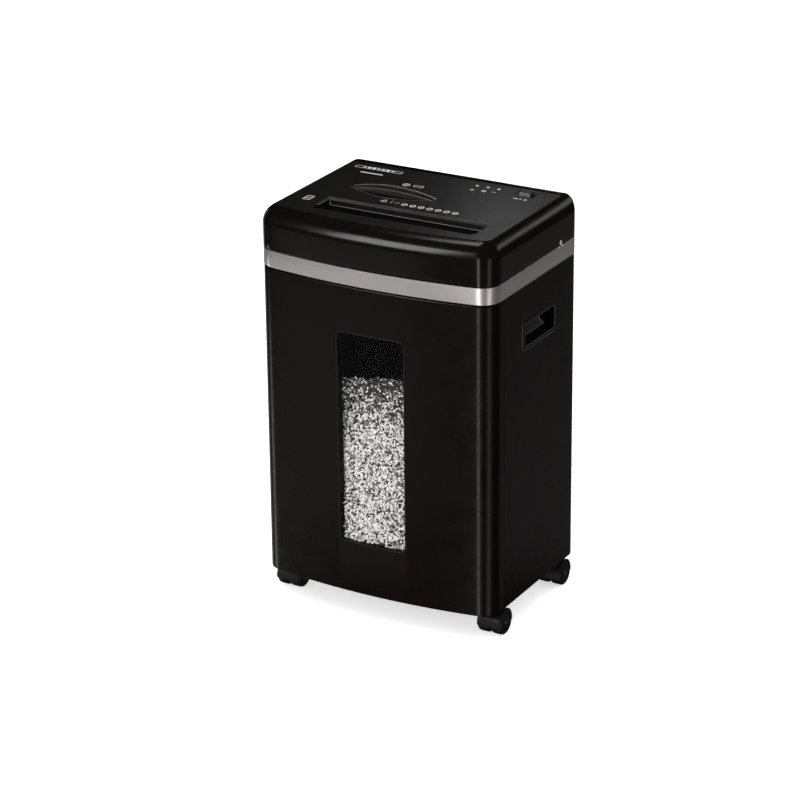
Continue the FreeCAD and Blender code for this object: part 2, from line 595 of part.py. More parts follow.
def ruled_scoop():
    """An eye-shaped dish ahead of the card slot, deepest against the front lip."""
    def eye(name, level, left, right, front):
        sketch = doc.addObject("Sketcher::SketchObject", name)
        bind(sketch, "Placement.Base.z", level)
        base = size("card_front") - size("lip_thick")
        middle = Vector((left + right) / 2, front, 0)
        sketch.addGeometry([Part.Arc(Vector(left, base, 0), middle, Vector(right, base, 0)),
                            Part.LineSegment(Vector(right, base, 0), Vector(left, base, 0))], False)
        sketch.addConstraint(Sketcher.Constraint("Coincident", 0, 2, 1, 1))
        sketch.addConstraint(Sketcher.Constraint("Coincident", 0, 1, 1, 2))
        for point, x in ((1, left), (2, right)):
            dimension(sketch, "DistanceX", -1, 1, 0, point, x)
            dimension(sketch, "DistanceY", -1, 1, 0, point, "card_front-lip_thick")
        span, rise = right - left, base - front
        dimension(sketch, "Radius", 0, (span ** 2 / 4 + rise ** 2) / (2 * rise))
        return sketch

    item = doc.addObject("Part::Loft", "scoop")
    item.Sections = [eye("scoop_low", "head_top-panel_thick+0.6", -72, -16, 3.5),
                     eye("scoop_high", "head_top+0.01", -91, 15, size("scoop_front"))]
    item.Solid = True
    item.Ruled = True
    return item


# ---------------------------------------------------------------- head internals

def make_chassis():
    """The tray that carries the cutter block, the block's frame and the two chutes above the cutters."""
    floor = slab("tray_slab", "tray_inset", "tray_floor-plate", "tray_floor")
    wall_of_tray = tube_wall("tray_rim", "tray_inset", "tray_inset+tray_wall", "tray_floor-plate", "band_top-2")
    drop = box("tray_drop", ("block_left+2", "block_right-2"), ("drop_front", "drop_rear"),
               ("tray_floor-plate-overshoot", "tray_floor+1"))
    pin_hole = rod("tray_pin_hole", "z", ("plunger_x", "plunger_y", "tray_floor-plate-overshoot"),
                   "plunger_radius+0.2", "plate+2*overshoot")
    node(cut("head_base", fuse("tray_body", floor, wall_of_tray), drop, pin_hole), "head_base")

    for side, low, rear in (("left", "block_left-side_plate", "block_rear"), ("right", "block_right", 12)):
        steel = box(f"side_steel_{side}", (low, f"{low}+side_plate"), ("block_front", rear),
                    ("tray_floor", "block_top"))
        holes = [rod(f"bearing_hole_{side}_{end}", "x", (f"{low}-overshoot", axis, "cutter_level"),
                     "bush_radius", "side_plate+2*overshoot")
                 for end, axis in (("front", "front_axis"), ("rear", "rear_axis"))]
        if side == "left":
            holes.append(rod("motor_nose_hole", "x", (f"{low}-overshoot", motor_y(), motor_z()), 12,
                             "side_plate+2*overshoot"))
            pin = rod("idler_pin", "x", (f"{low}-31", idler_y(), idler_z()), "idler_pin", 32)
            steel = fuse("side_steel_with_pin", steel, pin)
        node(cut(f"side_plate_{side}", steel, *holes), f"side_plate_{side}")

    bearings = []
    for side, x in (("left", "block_left-side_plate"), ("right", "block_right")):
        for end, axis in (("front", "front_axis"), ("rear", "rear_axis")):
            bearings.append(turned(f"bush_{side}_{end}", "x", (x, axis, "cutter_level"), [
                ("shaft_radius+running_gap", 0), ("bush_radius", 0), ("bush_radius", "side_plate"),
                ("shaft_radius+running_gap", "side_plate")]))
    node(group("cutter_bearings", *bearings), "cutter_bearings")

    rods = [rod(f"tie_rod_{end}_{k}", "x", ("block_left", y, z), "tie_radius", "block_right-block_left")
            for end, y in (("front", "tie_front"), ("rear", "tie_rear"))
            for k, z in enumerate(("tie_high", "tie_low"))]
    node(group("tie_rods", *rods), "tie_rods")

    # sheets from the paper slot and from the card slot down to the cutters, with a wedge between the two ways
    sections = {
        "front": [(-64.6, 557.5), (-62.2, 557.5), (-45, 529.5), (-47.4, 529.5)],
        "middle": [(-53.8, 556.8), (11, 576.8), (-34, 540)],
        "rear": [(21, 576.8), (23.4, 576.8), (-22.6, 529.5), (-25, 529.5)],
    }
    chutes = {end: extrude(f"chute_{end}", polygon(f"chute_{end}_plan", "YZ", "block_left+2", section),
                           "block_right-block_left-4", (1, 0, 0)) for end, section in sections.items()}
    flag_way = box("flag_way", ("-2*flag_half", "2*flag_half"), ("flag_y", -40),
                   ("sensor_low+2.5", "flag_level+4"))
    node(group("feed_chute", cut("chute_front_notched", chutes["front"], flag_way), chutes["middle"],
               chutes["rear"]), "feed_chute")


def make_sensors():
    """The paper flag in its sensor, and the interlock whose plunger rests on the bin's tab."""
    sensor = box("sensor_block", ("-sensor_half", "sensor_half"), ("sensor_front", "sensor_rear"),
                 ("sensor_low", "sensor_high"))
    sensor_way = box("sensor_way", ("-flag_half-0.6", "flag_half+0.6"),
                     ("sensor_front+3", "sensor_rear+overshoot"),
                     ("sensor_low+2.5", "sensor_high+overshoot"))
    node(cut("paper_sensor", sensor, sensor_way), "paper_sensor")
    pivot = rod("flag_pivot", "x", ("-flag_half", "flag_y", "flag_level"), "flag_pivot", "2*flag_half")
    arm = box("flag_arm", ("-flag_half", "flag_half"), ("flag_y", "flag_end"), ("flag_level-1", "flag_level+1"))
    node(fuse("paper_flag_body", pivot, arm), "paper_flag")

    switch = box("interlock_block", ("plunger_x-10", "plunger_x+10"), ("plunger_y-7", "plunger_y+7"),
                 ("tray_floor", "tray_floor+16"))
    bore = rod("interlock_bore", "z", ("plunger_x", "plunger_y", "tray_floor-1"), "plunger_radius+0.2", 12)
    node(cut("interlock_switch", switch, bore), "interlock_switch")
    node(turned("interlock_plunger", "z", ("plunger_x", "plunger_y", "plunger_foot"), [
        (0, 0), (1.6, 0), ("plunger_radius", 1.4), ("plunger_radius", "plunger_length"),
        (0, "plunger_length")]),
         "interlock_plunger")


def make_board():
    """The control board on four posts, with its large components, and the gland of the mains lead."""
    deck = "tray_floor+board_lift+board_thick"
    sheet_of_board = box("board_sheet", ("board_left", "board_right"), ("board_front", "board_rear"),
                         ("tray_floor+board_lift", deck))
    posts = [rod(f"board_post_{k}", "z", (x, y, "tray_floor"), "post_radius", "board_lift")
             for k, (x, y) in enumerate((x, y) for x in ("board_left+post_inset", "board_right-post_inset")
                                        for y in ("board_front+post_inset", "board_rear-post_inset"))]
    relay = box("relay", (50, 69), (44, 60), (deck, f"{deck}+15.4"))
    transformer = box("transformer", (76, 106), (42, 66), (deck, f"{deck}+25.4"))
    capacitor = rod("capacitor", "z", (62, 82, deck), 9, 26)
    heat_sink = box("heat_sink", (80, 104), (78, 84), (deck, f"{deck}+27.4"))
    node(group("control_board", sheet_of_board, *posts, relay, transformer, capacitor, heat_sink),
         "control_board")

    node(turned("cord_gland", "y", ("gland_x", "rear_y-gland_length", "gland_level"), [
        ("gland_bore", 0), ("gland_neck", 0), ("gland_neck", 4.2), ("gland_flange", 4.2), ("gland_flange", 8),
        ("gland_radius", 8), ("gland_radius", "gland_length-0.4"), ("gland_neck", "gland_length"),
        ("gland_bore", "gland_length")]), "cord_gland")


def motor_y():
    """Where the motor's axis lies behind the idler, in mesh with its wheel."""
    return f"{idler_y()}+wheel_module*(wheel_teeth+pinion_teeth)/2"


def motor_z():
    return idler_z()


def idler_y():
    """Where the idler's axis lies, in mesh with the final gear on the rear cutter shaft."""
    return "rear_axis+final_module*(final_teeth+idler_teeth)/2*cos(idler_lift)"


def idler_z():
    return "cutter_level+final_module*(final_teeth+idler_teeth)/2*sin(idler_lift)"


def gear_face(module, teeth, phase, hub_hole):
    """The face of an involute gear in the YZ plane; phase turns a tooth's centre away from +Y, in degrees."""
    pitch = module * teeth / 2
    base = pitch * math.cos(math.radians(20))
    outside = pitch + module
    root = pitch - 1.25 * module
    half_tooth = (math.pi * module / 2 - size("backlash")) / 2 / pitch
    involute_at_pitch = math.tan(math.radians(20)) - math.radians(20)

    def flank_angle(radius):
        """Half the tooth's angle at a radius on the involute."""
        pressure = math.acos(min(1.0, base / radius))
        return half_tooth + involute_at_pitch - (math.tan(pressure) - pressure)

    def at(radius, angle):
        return Vector(0, radius * math.cos(angle), radius * math.sin(angle))

    start = max(base, root)
    radii = [start + (outside - start) * k / 6 for k in range(7)]
    ring = []
    for tooth in range(teeth):
        middle = math.radians(phase) + math.tau * tooth / teeth
        ring.append(at(root, middle - math.pi / teeth))
        ring.append(at(root - 0.01, middle - flank_angle(start)))
        ring += [at(radius, middle - flank_angle(radius)) for radius in radii]
        ring += [at(radius, middle + flank_angle(radius)) for radius in reversed(radii)]
        ring.append(at(root - 0.01, middle + flank_angle(start)))
    outline = Part.makePolygon(ring + ring[:1])
    bore = Part.Wire(Part.makeCircle(hub_hole, Vector(0, 0, 0), Vector(1, 0, 0)))
    return Part.Face(outline).cut(Part.Face(bore)).Faces[0]


def gear(name, module, teeth, phase, x, y, z, width, hub_hole):
    """A spur gear about X at (y, z), from x to x + width; y and z are formulas."""
    item = doc.addObject("Part::Feature", name)
    item.Shape = gear_face(size(module), int(size(teeth)), phase, hub_hole).extrude(Vector(width, 0, 0))
    return place(item, x, y, z)


def disc_stack(name, axis, first, phase):
    """The cutter discs of one shaft: each has hooked teeth and a hub that reaches to the next disc."""
    outer, thick, pitch = size("disc_radius"), size("disc_thick"), size("disc_pitch")
    hooks, gullet, relief = 5, 3.2, 1.6
    ring = []
    for k in range(hooks):
        angle = math.tau * k / hooks + phase
        for share, reach in ((0, outer), (0.12, outer - gullet), (0.5, outer - 0.5 * relief),
                             (0.88, outer - 0.12 * relief)):
            late = angle + math.tau / hooks * share
            ring.append(Vector(0, reach * math.cos(late), reach * math.sin(late)))
    along = Vector(1, 0, 0)
    blade = Part.Face(Part.makePolygon(ring + ring[:1])).extrude(along * thick)
    sleeve = Part.makeCylinder(size("hub_radius"), pitch - thick, along * thick, along)
    bore = Part.makeCylinder(size("shaft_radius"), 3 * pitch, along * -pitch, along)
    disc = blade.fuse(sleeve).cut(bore).removeSplitter()
    item = doc.addObject("Part::Feature", name)
    item.Shape = Part.makeCompound([disc.translated(along * (first + pitch * k)) for k in range(disc_count())])
    return place(item, 0, axis, "cutter_level")


def disc_count():
    """How many discs fit on a shaft between the side plates."""
    return int((size("block_right") - size("block_left") - 10) / size("disc_pitch"))


def make_cutters():
    thick, pitch = size("disc_thick"), size("disc_pitch")
    start = size("block_left") + size("overshoot")
    # the strippers are a bar with a finger in every gap of its shaft's discs
    for end, axis, first, phase, overhang, bar_y, finger_y in (
            ("front", "front_axis", start, 0.0, 12, (-80, -75.5), (-76, -70)),
            ("rear", "rear_axis", start + pitch / 2, 0.6, 26, (5.5, 10), (0, 6))):
        node(disc_stack(f"cutter_discs_{end}", axis, first, phase), f"cutter_discs_{end}")
        left = f"block_left-side_plate-{overhang}"
        length = f"block_right+side_plate+4-({left})"
        node(turned(f"cutter_shaft_{end}", "x", (left, axis, "cutter_level"), [
            (0, 0), ("shaft_radius", 0), ("shaft_radius", length), (0, length)]), f"cutter_shaft_{end}")
        bar = box(f"comb_bar_{end}", ("block_left", "block_right"), bar_y, ("comb_low", "comb_high"))
        gap = 0.3
        finger = Part.makeBox(pitch - thick - 2 * gap, finger_y[1] - finger_y[0],
                              size("finger_high") - size("finger_low"),
                              Vector(first + thick + gap, finger_y[0], size("finger_low")))
        fingers = doc.addObject("Part::Feature", f"comb_fingers_{end}")
        places = [Vector(pitch * k, 0, 0) for k in range(disc_count())]
        fingers.Shape = Part.makeCompound([finger.translated(place) for place in places])
        node(fuse(f"stripper_comb_{end}", bar, fingers), f"stripper_comb_{end}")


def make_gears():
    """Sync gears couple the two shafts; the idler steps the motor's pinion down to the final gear."""
    plane = "block_left-side_plate"
    shaft, lift = size("shaft_radius"), size("idler_lift")
    counts = ("sync_teeth", "idler_teeth", "pinion_teeth")
    half_sync, half_idler, half_pinion = (180 / size(teeth) for teeth in counts)
    node(gear("sync_gear_front", "sync_module", "sync_teeth", 0, f"{plane}-11", "front_axis", "cutter_level",
              8.0,
              shaft), "sync_gear_front")
    node(gear("sync_gear_rear", "sync_module", "sync_teeth", half_sync, f"{plane}-11", "rear_axis",
              "cutter_level",
              8.0, shaft), "sync_gear_rear")
    node(gear("final_gear", "final_module", "final_teeth", lift, f"{plane}-23", "rear_axis", "cutter_level",
              9.0,
              shaft), "final_gear")

    pin = size("idler_pin") + 0.06
    small = gear("idler_small", "final_module", "idler_teeth", lift + 180 + half_idler, f"{plane}-23.6",
                 idler_y(),
                 idler_z(), 9.6, pin)
    large = gear("idler_large", "wheel_module", "wheel_teeth", 0, f"{plane}-30.6", idler_y(), idler_z(), 7.0,
                 pin)
    node(fuse("idler_gear", small, large), "idler_gear")
    node(gear("motor_pinion", "wheel_module", "pinion_teeth", 180 + half_pinion, f"{plane}-31", motor_y(),
              motor_z(),
              9.0, size("pinion_bore")), "motor_pinion")

    cover = box("gearbox_block", (f"{plane}-cover_deep", plane), ("cover_front", "cover_rear"),
                ("tray_floor+1", "cover_top"))
    hollow = box("gearbox_hollow", (f"{plane}-cover_deep+cover_wall", f"{plane}+1"),
                 ("cover_front+cover_wall", "cover_rear-cover_wall"),
                 ("tray_floor+1+cover_wall", "cover_top-cover_wall"))
    node(cut("gearbox_cover", cover, hollow), "gearbox_cover")


def make_motor():
    """A can bolted to the left plate, and its rotor with a cooling fan."""
    axis = (motor_y(), motor_z())
    bore, nose, length, lining = 7, 12, "can_right-can_left", "can_radius-can_wall"
    node(turned("motor_can", "x", ("block_left", *axis), [
        (bore, 0), (nose, 0), (nose, "can_wall"), ("can_radius", "can_wall"),
        ("can_radius", f"{length}+can_wall"),
        (bore, f"{length}+can_wall"), (bore, length), (lining, length), (lining, "2*can_wall"),
        (bore, "2*can_wall")]), "motor_can")
    node(turned("motor_rotor", "x", ("block_left-side_plate-31", *axis), [
        (0, 0), ("pinion_bore", 0), ("pinion_bore", 10), ("motor_shaft", 10), ("motor_shaft", 48),
        ("core_radius", 48),
        ("core_radius", 132), ("motor_shaft", 132), ("motor_shaft", 168), (0, 168)]), "motor_rotor")
    hub = rod("fan_hub", "x", ("fan_left", *axis), "fan_hub", "fan_wide")
    fan_bore = rod("fan_bore", "x", ("fan_left-overshoot", *axis), "motor_shaft", "fan_wide+2*overshoot")
    blades = doc.addObject("Part::Feature", "fan_blades")
    blade = Part.makeBox(size("fan_wide") - 1, 18, 1.6, Vector(0, 7.5, -0.8))
    blades.Shape = Part.makeCompound([blade.rotated(Vector(0, 0, 0), Vector(1, 0, 0),
                                                    45 * k) for k in range(8)])
    place(blades, "fan_left+0.5", *axis)
    node(cut("cooling_fan", fuse("fan_body", hub, blades), fan_bore), "cooling_fan")


# ---------------------------------------------------------------- casters

def make_caster(tag, x, stem_y):
    """A hooded twin-wheel caster that trails towards the front."""
    axle_y = f"({stem_y})-trail"
    drum = rod(f"hood_drum_{tag}", "x", (f"({x})-tread_half+1.2", axle_y, "wheel_radius"), "hood_radius",
               "2*tread_half-2.4")
    boss = rod(f"hood_boss_{tag}", "z", (x, stem_y, "boss_foot"), "boss_radius", "cabinet_bottom-1.5-boss_foot")
    caves = [rod(f"hood_cave_{side}_{tag}", "x", (start, axle_y, "wheel_radius"), "wheel_radius+0.7",
                 "tread_half")
             for side, start in (("a", f"({x})+web_half"), ("b", f"({x})-web_half-tread_half"))]
    below = box(f"hood_below_{tag}", (f"({x})-2*tread_half", f"({x})+2*tread_half"),
                (f"({axle_y})-2*wheel_radius", f"({axle_y})+3*wheel_radius"), ("-overshoot", 15))
    axle_hole = rod(f"hood_axle_hole_{tag}", "x", (f"({x})-tread_half-overshoot", axle_y, "wheel_radius"),
                    "axle_radius+running_gap", "2*tread_half+2*overshoot")
    stem_hole = rod(f"hood_stem_hole_{tag}", "z", (x, stem_y, "stem_foot"), "stem_radius", "cabinet_bottom")
    hood = cut(f"caster_hood_{tag}", fuse(f"hood_body_{tag}", drum, boss), *caves, below, stem_hole)
    web = rod(f"hood_web_disc_{tag}", "x", (f"({x})-web_half", axle_y, "wheel_radius"), "boss_radius",
              "2*web_half")
    node(cut(f"hood_with_web_{tag}", fuse(f"hood_joined_{tag}", hood, web), axle_hole), f"caster_hood_{tag}")
    node(rod(f"caster_stem_{tag}", "z", (x, stem_y, "stem_foot"), "stem_radius",
             "cabinet_bottom+6.8-stem_foot"),
         f"caster_stem_{tag}")
    wheels = []
    for side, face, turn in (("inner", f"({x})-web_half-0.5", -90), ("outer", f"({x})+web_half+0.5", 90)):
        width = "(tread_half-web_half-0.5)"
        corners = [("axle_radius", 0), ("wheel_radius-0.8", 0), ("wheel_radius", 0.8),
                   ("wheel_radius", f"{width}-1.6"),
                   ("wheel_radius-1.6", width), ("wheel_radius-3.4", width), ("wheel_radius-4.2", f"{width}-1"),
                   (8.2, f"{width}-1"), (7.6, f"{width}-0.2"), ("axle_radius", f"{width}-0.2")]
        wheel = turned(f"wheel_{side}_{tag}", "x", (face, axle_y, "wheel_radius"), corners)
        wheel.Placement.Rotation = Rotation(Vector(0, 1, 0), turn)
        wheels.append(wheel)
    axle = rod(f"axle_{tag}", "x", (f"({x})-tread_half+0.6", axle_y, "wheel_radius"), "axle_radius",
               "2*tread_half-1.2")
    node(group(f"caster_wheels_{tag}", *wheels, axle), f"caster_wheels_{tag}")


# ---------------------------------------------------------------- assembly and output

make_cabinet()
make_base()
node(make_grip("right"), "grip_cup_right")
node(mirror_x("grip_cup_left", make_grip("source")), "grip_cup_left")
make_bin()
make_head()
make_chassis()
make_sensors()
make_board()
make_cutters()
make_gears()
make_motor()
for corner_tag, stem_x, stem_y in CORNERS:
    make_caster(corner_tag, stem_x, stem_y)

doc.recompute()
for item in doc.Objects:
    if "Invalid" in item.State or "Error" in item.State:
        raise RuntimeError(f"{item.Name} did not rebuild: {item.State}")
for name, item in nodes.items():
    if item.Shape.isNull() or not item.Shape.isValid() or not item.Shape.Solids:
        raise RuntimeError(f"{name} has no sound shape")

os.makedirs("parts", exist_ok=True)
for name, item in nodes.items():
    item.Shape.exportStep(f"parts/{name}.step")
print(len(nodes), "sub-parts written")
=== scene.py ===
import json
import math
import random

import bmesh
import bpy
from mathutils import Matrix, Vector

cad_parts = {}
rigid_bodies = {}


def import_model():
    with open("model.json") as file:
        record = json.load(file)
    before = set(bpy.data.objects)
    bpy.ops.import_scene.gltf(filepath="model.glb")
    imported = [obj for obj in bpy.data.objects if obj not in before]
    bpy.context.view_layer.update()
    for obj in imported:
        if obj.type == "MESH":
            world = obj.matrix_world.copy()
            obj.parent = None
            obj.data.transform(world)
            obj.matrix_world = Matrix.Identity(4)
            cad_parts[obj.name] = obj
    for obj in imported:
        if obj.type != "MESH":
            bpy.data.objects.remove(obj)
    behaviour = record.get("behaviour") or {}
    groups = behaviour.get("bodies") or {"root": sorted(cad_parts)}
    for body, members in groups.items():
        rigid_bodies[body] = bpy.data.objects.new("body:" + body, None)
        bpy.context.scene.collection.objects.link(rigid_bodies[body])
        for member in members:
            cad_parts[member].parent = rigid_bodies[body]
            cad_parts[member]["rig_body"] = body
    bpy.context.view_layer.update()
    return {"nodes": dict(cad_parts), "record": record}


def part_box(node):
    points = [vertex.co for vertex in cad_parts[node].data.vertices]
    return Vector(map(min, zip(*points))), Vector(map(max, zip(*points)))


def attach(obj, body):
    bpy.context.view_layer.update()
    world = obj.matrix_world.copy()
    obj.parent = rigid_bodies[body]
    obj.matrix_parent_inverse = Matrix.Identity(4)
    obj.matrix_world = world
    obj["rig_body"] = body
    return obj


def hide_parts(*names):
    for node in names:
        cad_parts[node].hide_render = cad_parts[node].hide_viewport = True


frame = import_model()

# Looks of the paper shredder, in metres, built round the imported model.

MM = 0.001
scene = bpy.context.scene
nodes = frame["nodes"]
random.seed(11)

# ------------------------------------------------------------------ places taken from the frame

band_low, band_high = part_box("silver_band")
_, panel_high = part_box("top_panel")
shell_low, shell_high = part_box("cabinet_shell")
front_low, front_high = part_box("bin_front")
pane_low, pane_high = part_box("window_pane")
heap_low, heap_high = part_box("paper_shreds")
cover_low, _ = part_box("head_cover")

HALF_WIDTH = band_high.x
REAR_Y = band_high.y
FRONT_Y = band_low.y
TOP_Z = panel_high.z
BOW_RADIUS = 981 * MM
FRONT_CORNER = 29 * MM
REAR_CORNER = 18 * MM
SKIN = 0.4 * MM
WALL = 3 * MM
SEAM_GAP = 0.3 * MM
GRIP_RIM = 5 * MM
WINDOW_CORNER = 9 * MM
SHRED_THICKNESS = 0.12 * MM
SHARP_ANGLE = 32
SEAM_Y = (front_high.y + shell_low.y) / 2


# ------------------------------------------------------------------ mesh helpers

def finish_mesh(name, mesh, body, material, replaced=(), sharp=SHARP_ANGLE):
    """Shade a mesh smooth up to an angle, give it its material and tie it to its CAD body."""
    mesh.validate()
    for polygon in mesh.polygons:
        polygon.use_smooth = True
    mesh.set_sharp_from_angle(angle=math.radians(sharp))
    piece = bpy.data.objects.new(name, mesh)
    scene.collection.objects.link(piece)
    mesh.materials.clear()
    mesh.materials.append(material)
    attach(piece, body)
    if replaced:
        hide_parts(*replaced)
    return piece


def mesh_of(name, verts, faces):
    mesh = bpy.data.meshes.new(name)
    mesh.from_pydata([tuple(v) for v in verts], [], faces)
    mesh.update()
    shape = bmesh.new()
    shape.from_mesh(mesh)
    bmesh.ops.remove_doubles(shape, verts=shape.verts, dist=1e-7)
    bmesh.ops.recalc_face_normals(shape, faces=shape.faces)
    shape.to_mesh(mesh)
    shape.free()
    return mesh


def arc_points(x, y, radius, start, end, steps):
    return [(x + radius * math.cos(start + (end - start) * k / steps),
             y + radius * math.sin(start + (end - start) * k / steps)) for k in range(steps + 1)]


def plan_outline(side, front=None, rear=None, front_corner=None, rear_corner=None, part="all"):
    """The cabinet's plan set in from its faces, from the left seam round the front.

    The part is all, front or rear.
    """
    front = side if front is None else front
    rear = side if rear is None else rear
    corner = FRONT_CORNER - side if front_corner is None else front_corner
    back = max(REAR_CORNER - side, 0.4 * MM) if rear_corner is None else rear_corner
    width, radius = HALF_WIDTH - side, BOW_RADIUS - front
    bow_y = FRONT_Y + BOW_RADIUS
    corner_y = bow_y - math.sqrt((radius - corner) ** 2 - (width - corner) ** 2)
    turn = math.atan2(corner_y - bow_y, width - corner)
    seam = {"all": SEAM_Y, "front": SEAM_Y - SEAM_GAP, "rear": SEAM_Y + SEAM_GAP}[part]
    quarter = math.pi / 2
    bow_steps, front_steps, rear_steps, side_runs, rear_runs = 72, 14, 10, 6, 12
    ahead = [(-width, seam)]
    ahead += arc_points(corner - width, corner_y, corner, -math.pi, -math.pi - turn, front_steps)
    ahead += arc_points(0, bow_y, radius, -math.pi - turn, turn, bow_steps)[1:]
    ahead += arc_points(width - corner, corner_y, corner, turn, 0, front_steps)[1:]
    ahead.append((width, seam))
    side_end = REAR_Y - rear - back
    behind = [(width, seam + (side_end - seam) * k / side_runs) for k in range(1, side_runs)]
    behind += arc_points(width - back, side_end, back, 0, quarter, rear_steps)
    behind += [((width - back) * (1 - 2 * k / rear_runs), REAR_Y - rear) for k in range(1, rear_runs)]
    behind += arc_points(back - width, side_end, back, quarter, math.pi, rear_steps)
    behind += [(-width, side_end - (side_end - seam) * k / side_runs) for k in range(1, side_runs)]
    if part == "front":
        return ahead
    if part == "rear":
        return [(width, seam)] + behind + [(-width, seam)]
    return ahead + behind


def soften(profile, radius, steps=3):
    """Round the corners of a closed profile of (inset, height) points."""
    made = []
    count = len(profile)
    for k in range(count):
        before, here, after = (Vector(profile[(k + d) % count]) for d in (-1, 0, 1))
        reach = min(radius, (before - here).length * 0.45, (after - here).length * 0.45)
        start = here + (before - here).normalized() * reach
        end = here + (after - here).normalized() * reach
        for j in range(steps + 1):
            t = j / steps
            made.append(tuple(start * (1 - t) ** 2 + here * 2 * t * (1 - t) + end * t * t))
    return made


def loft_mesh(name, rings, closed_plan):
    """A solid through rings of points, the last joined to the first; an open plan gets a cap at both ends."""
    count = len(rings[0])
    verts = [point for ring in rings for point in ring]
    faces = []
    across = count if closed_plan else count - 1
    for k in range(len(rings)):
        low, high = k * count, (k + 1) % len(rings) * count
        for j in range(across):
            faces.append((low + j, low + (j + 1) % count, high + (j + 1) % count, high + j))
    if not closed_plan:
        faces.append(tuple(k * count for k in range(len(rings))))
        faces.append(tuple(k * count + count - 1 for k in reversed(range(len(rings)))))
    return mesh_of(name, verts, faces)


def swept_wall(name, profile, part="all"):
    """A wall that follows the plan outline, from a closed profile of (inset, height) points."""
    rings = [[(x, y, z) for x, y in plan_outline(inset, part=part)] for inset, z in profile]
    return loft_mesh(name, rings, part == "all")


def block_mesh(name, low, high):
    x0, y0, z0 = low
    x1, y1, z1 = high
    verts = [(x0, y0, z0), (x1, y0, z0), (x1, y1, z0), (x0, y1, z0),
             (x0, y0, z1), (x1, y0, z1), (x1, y1, z1), (x0, y1, z1)]
    faces = [(0, 3, 2, 1), (4, 5, 6, 7), (0, 1, 5, 4), (1, 2, 6, 5), (2, 3, 7, 6), (3, 0, 4, 7)]
    return mesh_of(name, verts, faces)


def rounded_rectangle(low, high, radius, steps=8):
    """Points anticlockwise round a rectangle with rounded corners."""
    quarter = math.pi / 2
    centres = ((high[0] - radius, high[1] - radius, 0), (low[0] + radius, high[1] - radius, 1),
               (low[0] + radius, low[1] + radius, 2), (high[0] - radius, low[1] + radius, 3))
    return [point for x, y, k in centres
            for point in arc_points(x, y, radius, quarter * k, quarter * (k + 1), steps)]


def prism_mesh(name, outline, low, high, place):
    """A prism over a closed outline; place turns (u, v, depth) into a point."""
    count = len(outline)
    verts = [place(u, v, low) for u, v in outline] + [place(u, v, high) for u, v in outline]
    faces = [tuple(range(count)), tuple(reversed(range(count, 2 * count)))]
    faces += [(k, (k + 1) % count, (k + 1) % count + count, k + count) for k in range(count)]
    return mesh_of(name, verts, faces)


def modified(mesh, *settings):
    """The mesh after a list of modifiers, each a (type, {property: value}) pair."""
    holder = bpy.data.objects.new("holder", mesh)
    scene.collection.objects.link(holder)
    for kind, values in settings:
        modifier = holder.modifiers.new(kind, kind)
        for prop, value in values.items():
            setattr(modifier, prop, value)
    bpy.context.view_layer.update()
    result = bpy.data.meshes.new_from_object(holder.evaluated_get(bpy.context.evaluated_depsgraph_get()))
    bpy.data.objects.remove(holder)
    return result


def carved(mesh, *cutters):
    """The mesh less each cutter mesh."""
    for cutter in cutters:
        tool = bpy.data.objects.new("tool", cutter)
        scene.collection.objects.link(tool)
        mesh = modified(mesh, ("BOOLEAN", {"object": tool, "operation": "DIFFERENCE", "solver": "EXACT"}))
        bpy.data.objects.remove(tool)
    return mesh


def lathe_mesh(name, profile, centre, steps=72):
    """A turned solid from (radius, height) corners, about the x axis through centre."""
    turn = Matrix.Rotation(math.pi / 2, 3, "Y")
    circle = [(math.cos(math.tau * k / steps), math.sin(math.tau * k / steps)) for k in range(steps)]
    rings = [[turn @ Vector((r * x, r * y, z)) + centre for x, y in circle] for r, z in profile]
    return loft_mesh(name, rings, True)


def clean_copy(node, width, segments, angle):
    """A copy of a CAD node's shape with its flat faces joined up and its sharp edges rounded."""
    mesh = nodes[node].data.copy()
    mesh.materials.clear()
    shape = bmesh.new()
    shape.from_mesh(mesh)
    bmesh.ops.remove_doubles(shape, verts=shape.verts, dist=2e-6)
    bmesh.ops.dissolve_limit(shape, angle_limit=math.radians(0.6), verts=shape.verts, edges=shape.edges)
    shape.to_mesh(mesh)
    shape.free()
    return modified(mesh, ("BEVEL", {"width": width, "segments": segments, "limit_method": "ANGLE",
                                     "angle_limit": math.radians(angle), "harden_normals": False,
                                     "use_clamp_overlap": True}))


def weighted(mesh):
    """The mesh with its flat faces shaded flat up to their rounded edges."""
    for polygon in mesh.polygons:
        polygon.use_smooth = True
    mesh.set_sharp_from_angle(angle=math.radians(SHARP_ANGLE))
    return modified(mesh, ("WEIGHTED_NORMAL", {"keep_sharp": True, "weight": 80}))


def rounded_node(node, width, material, segments=2, angle=35):
    """Stand a rounded copy in for a CAD node, on its own body, in the given material."""
    mesh = weighted(clean_copy(node, width, segments, angle))
    return finish_mesh(node + "_shape", mesh, nodes[node]["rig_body"], material, [node])


# ------------------------------------------------------------------ materials

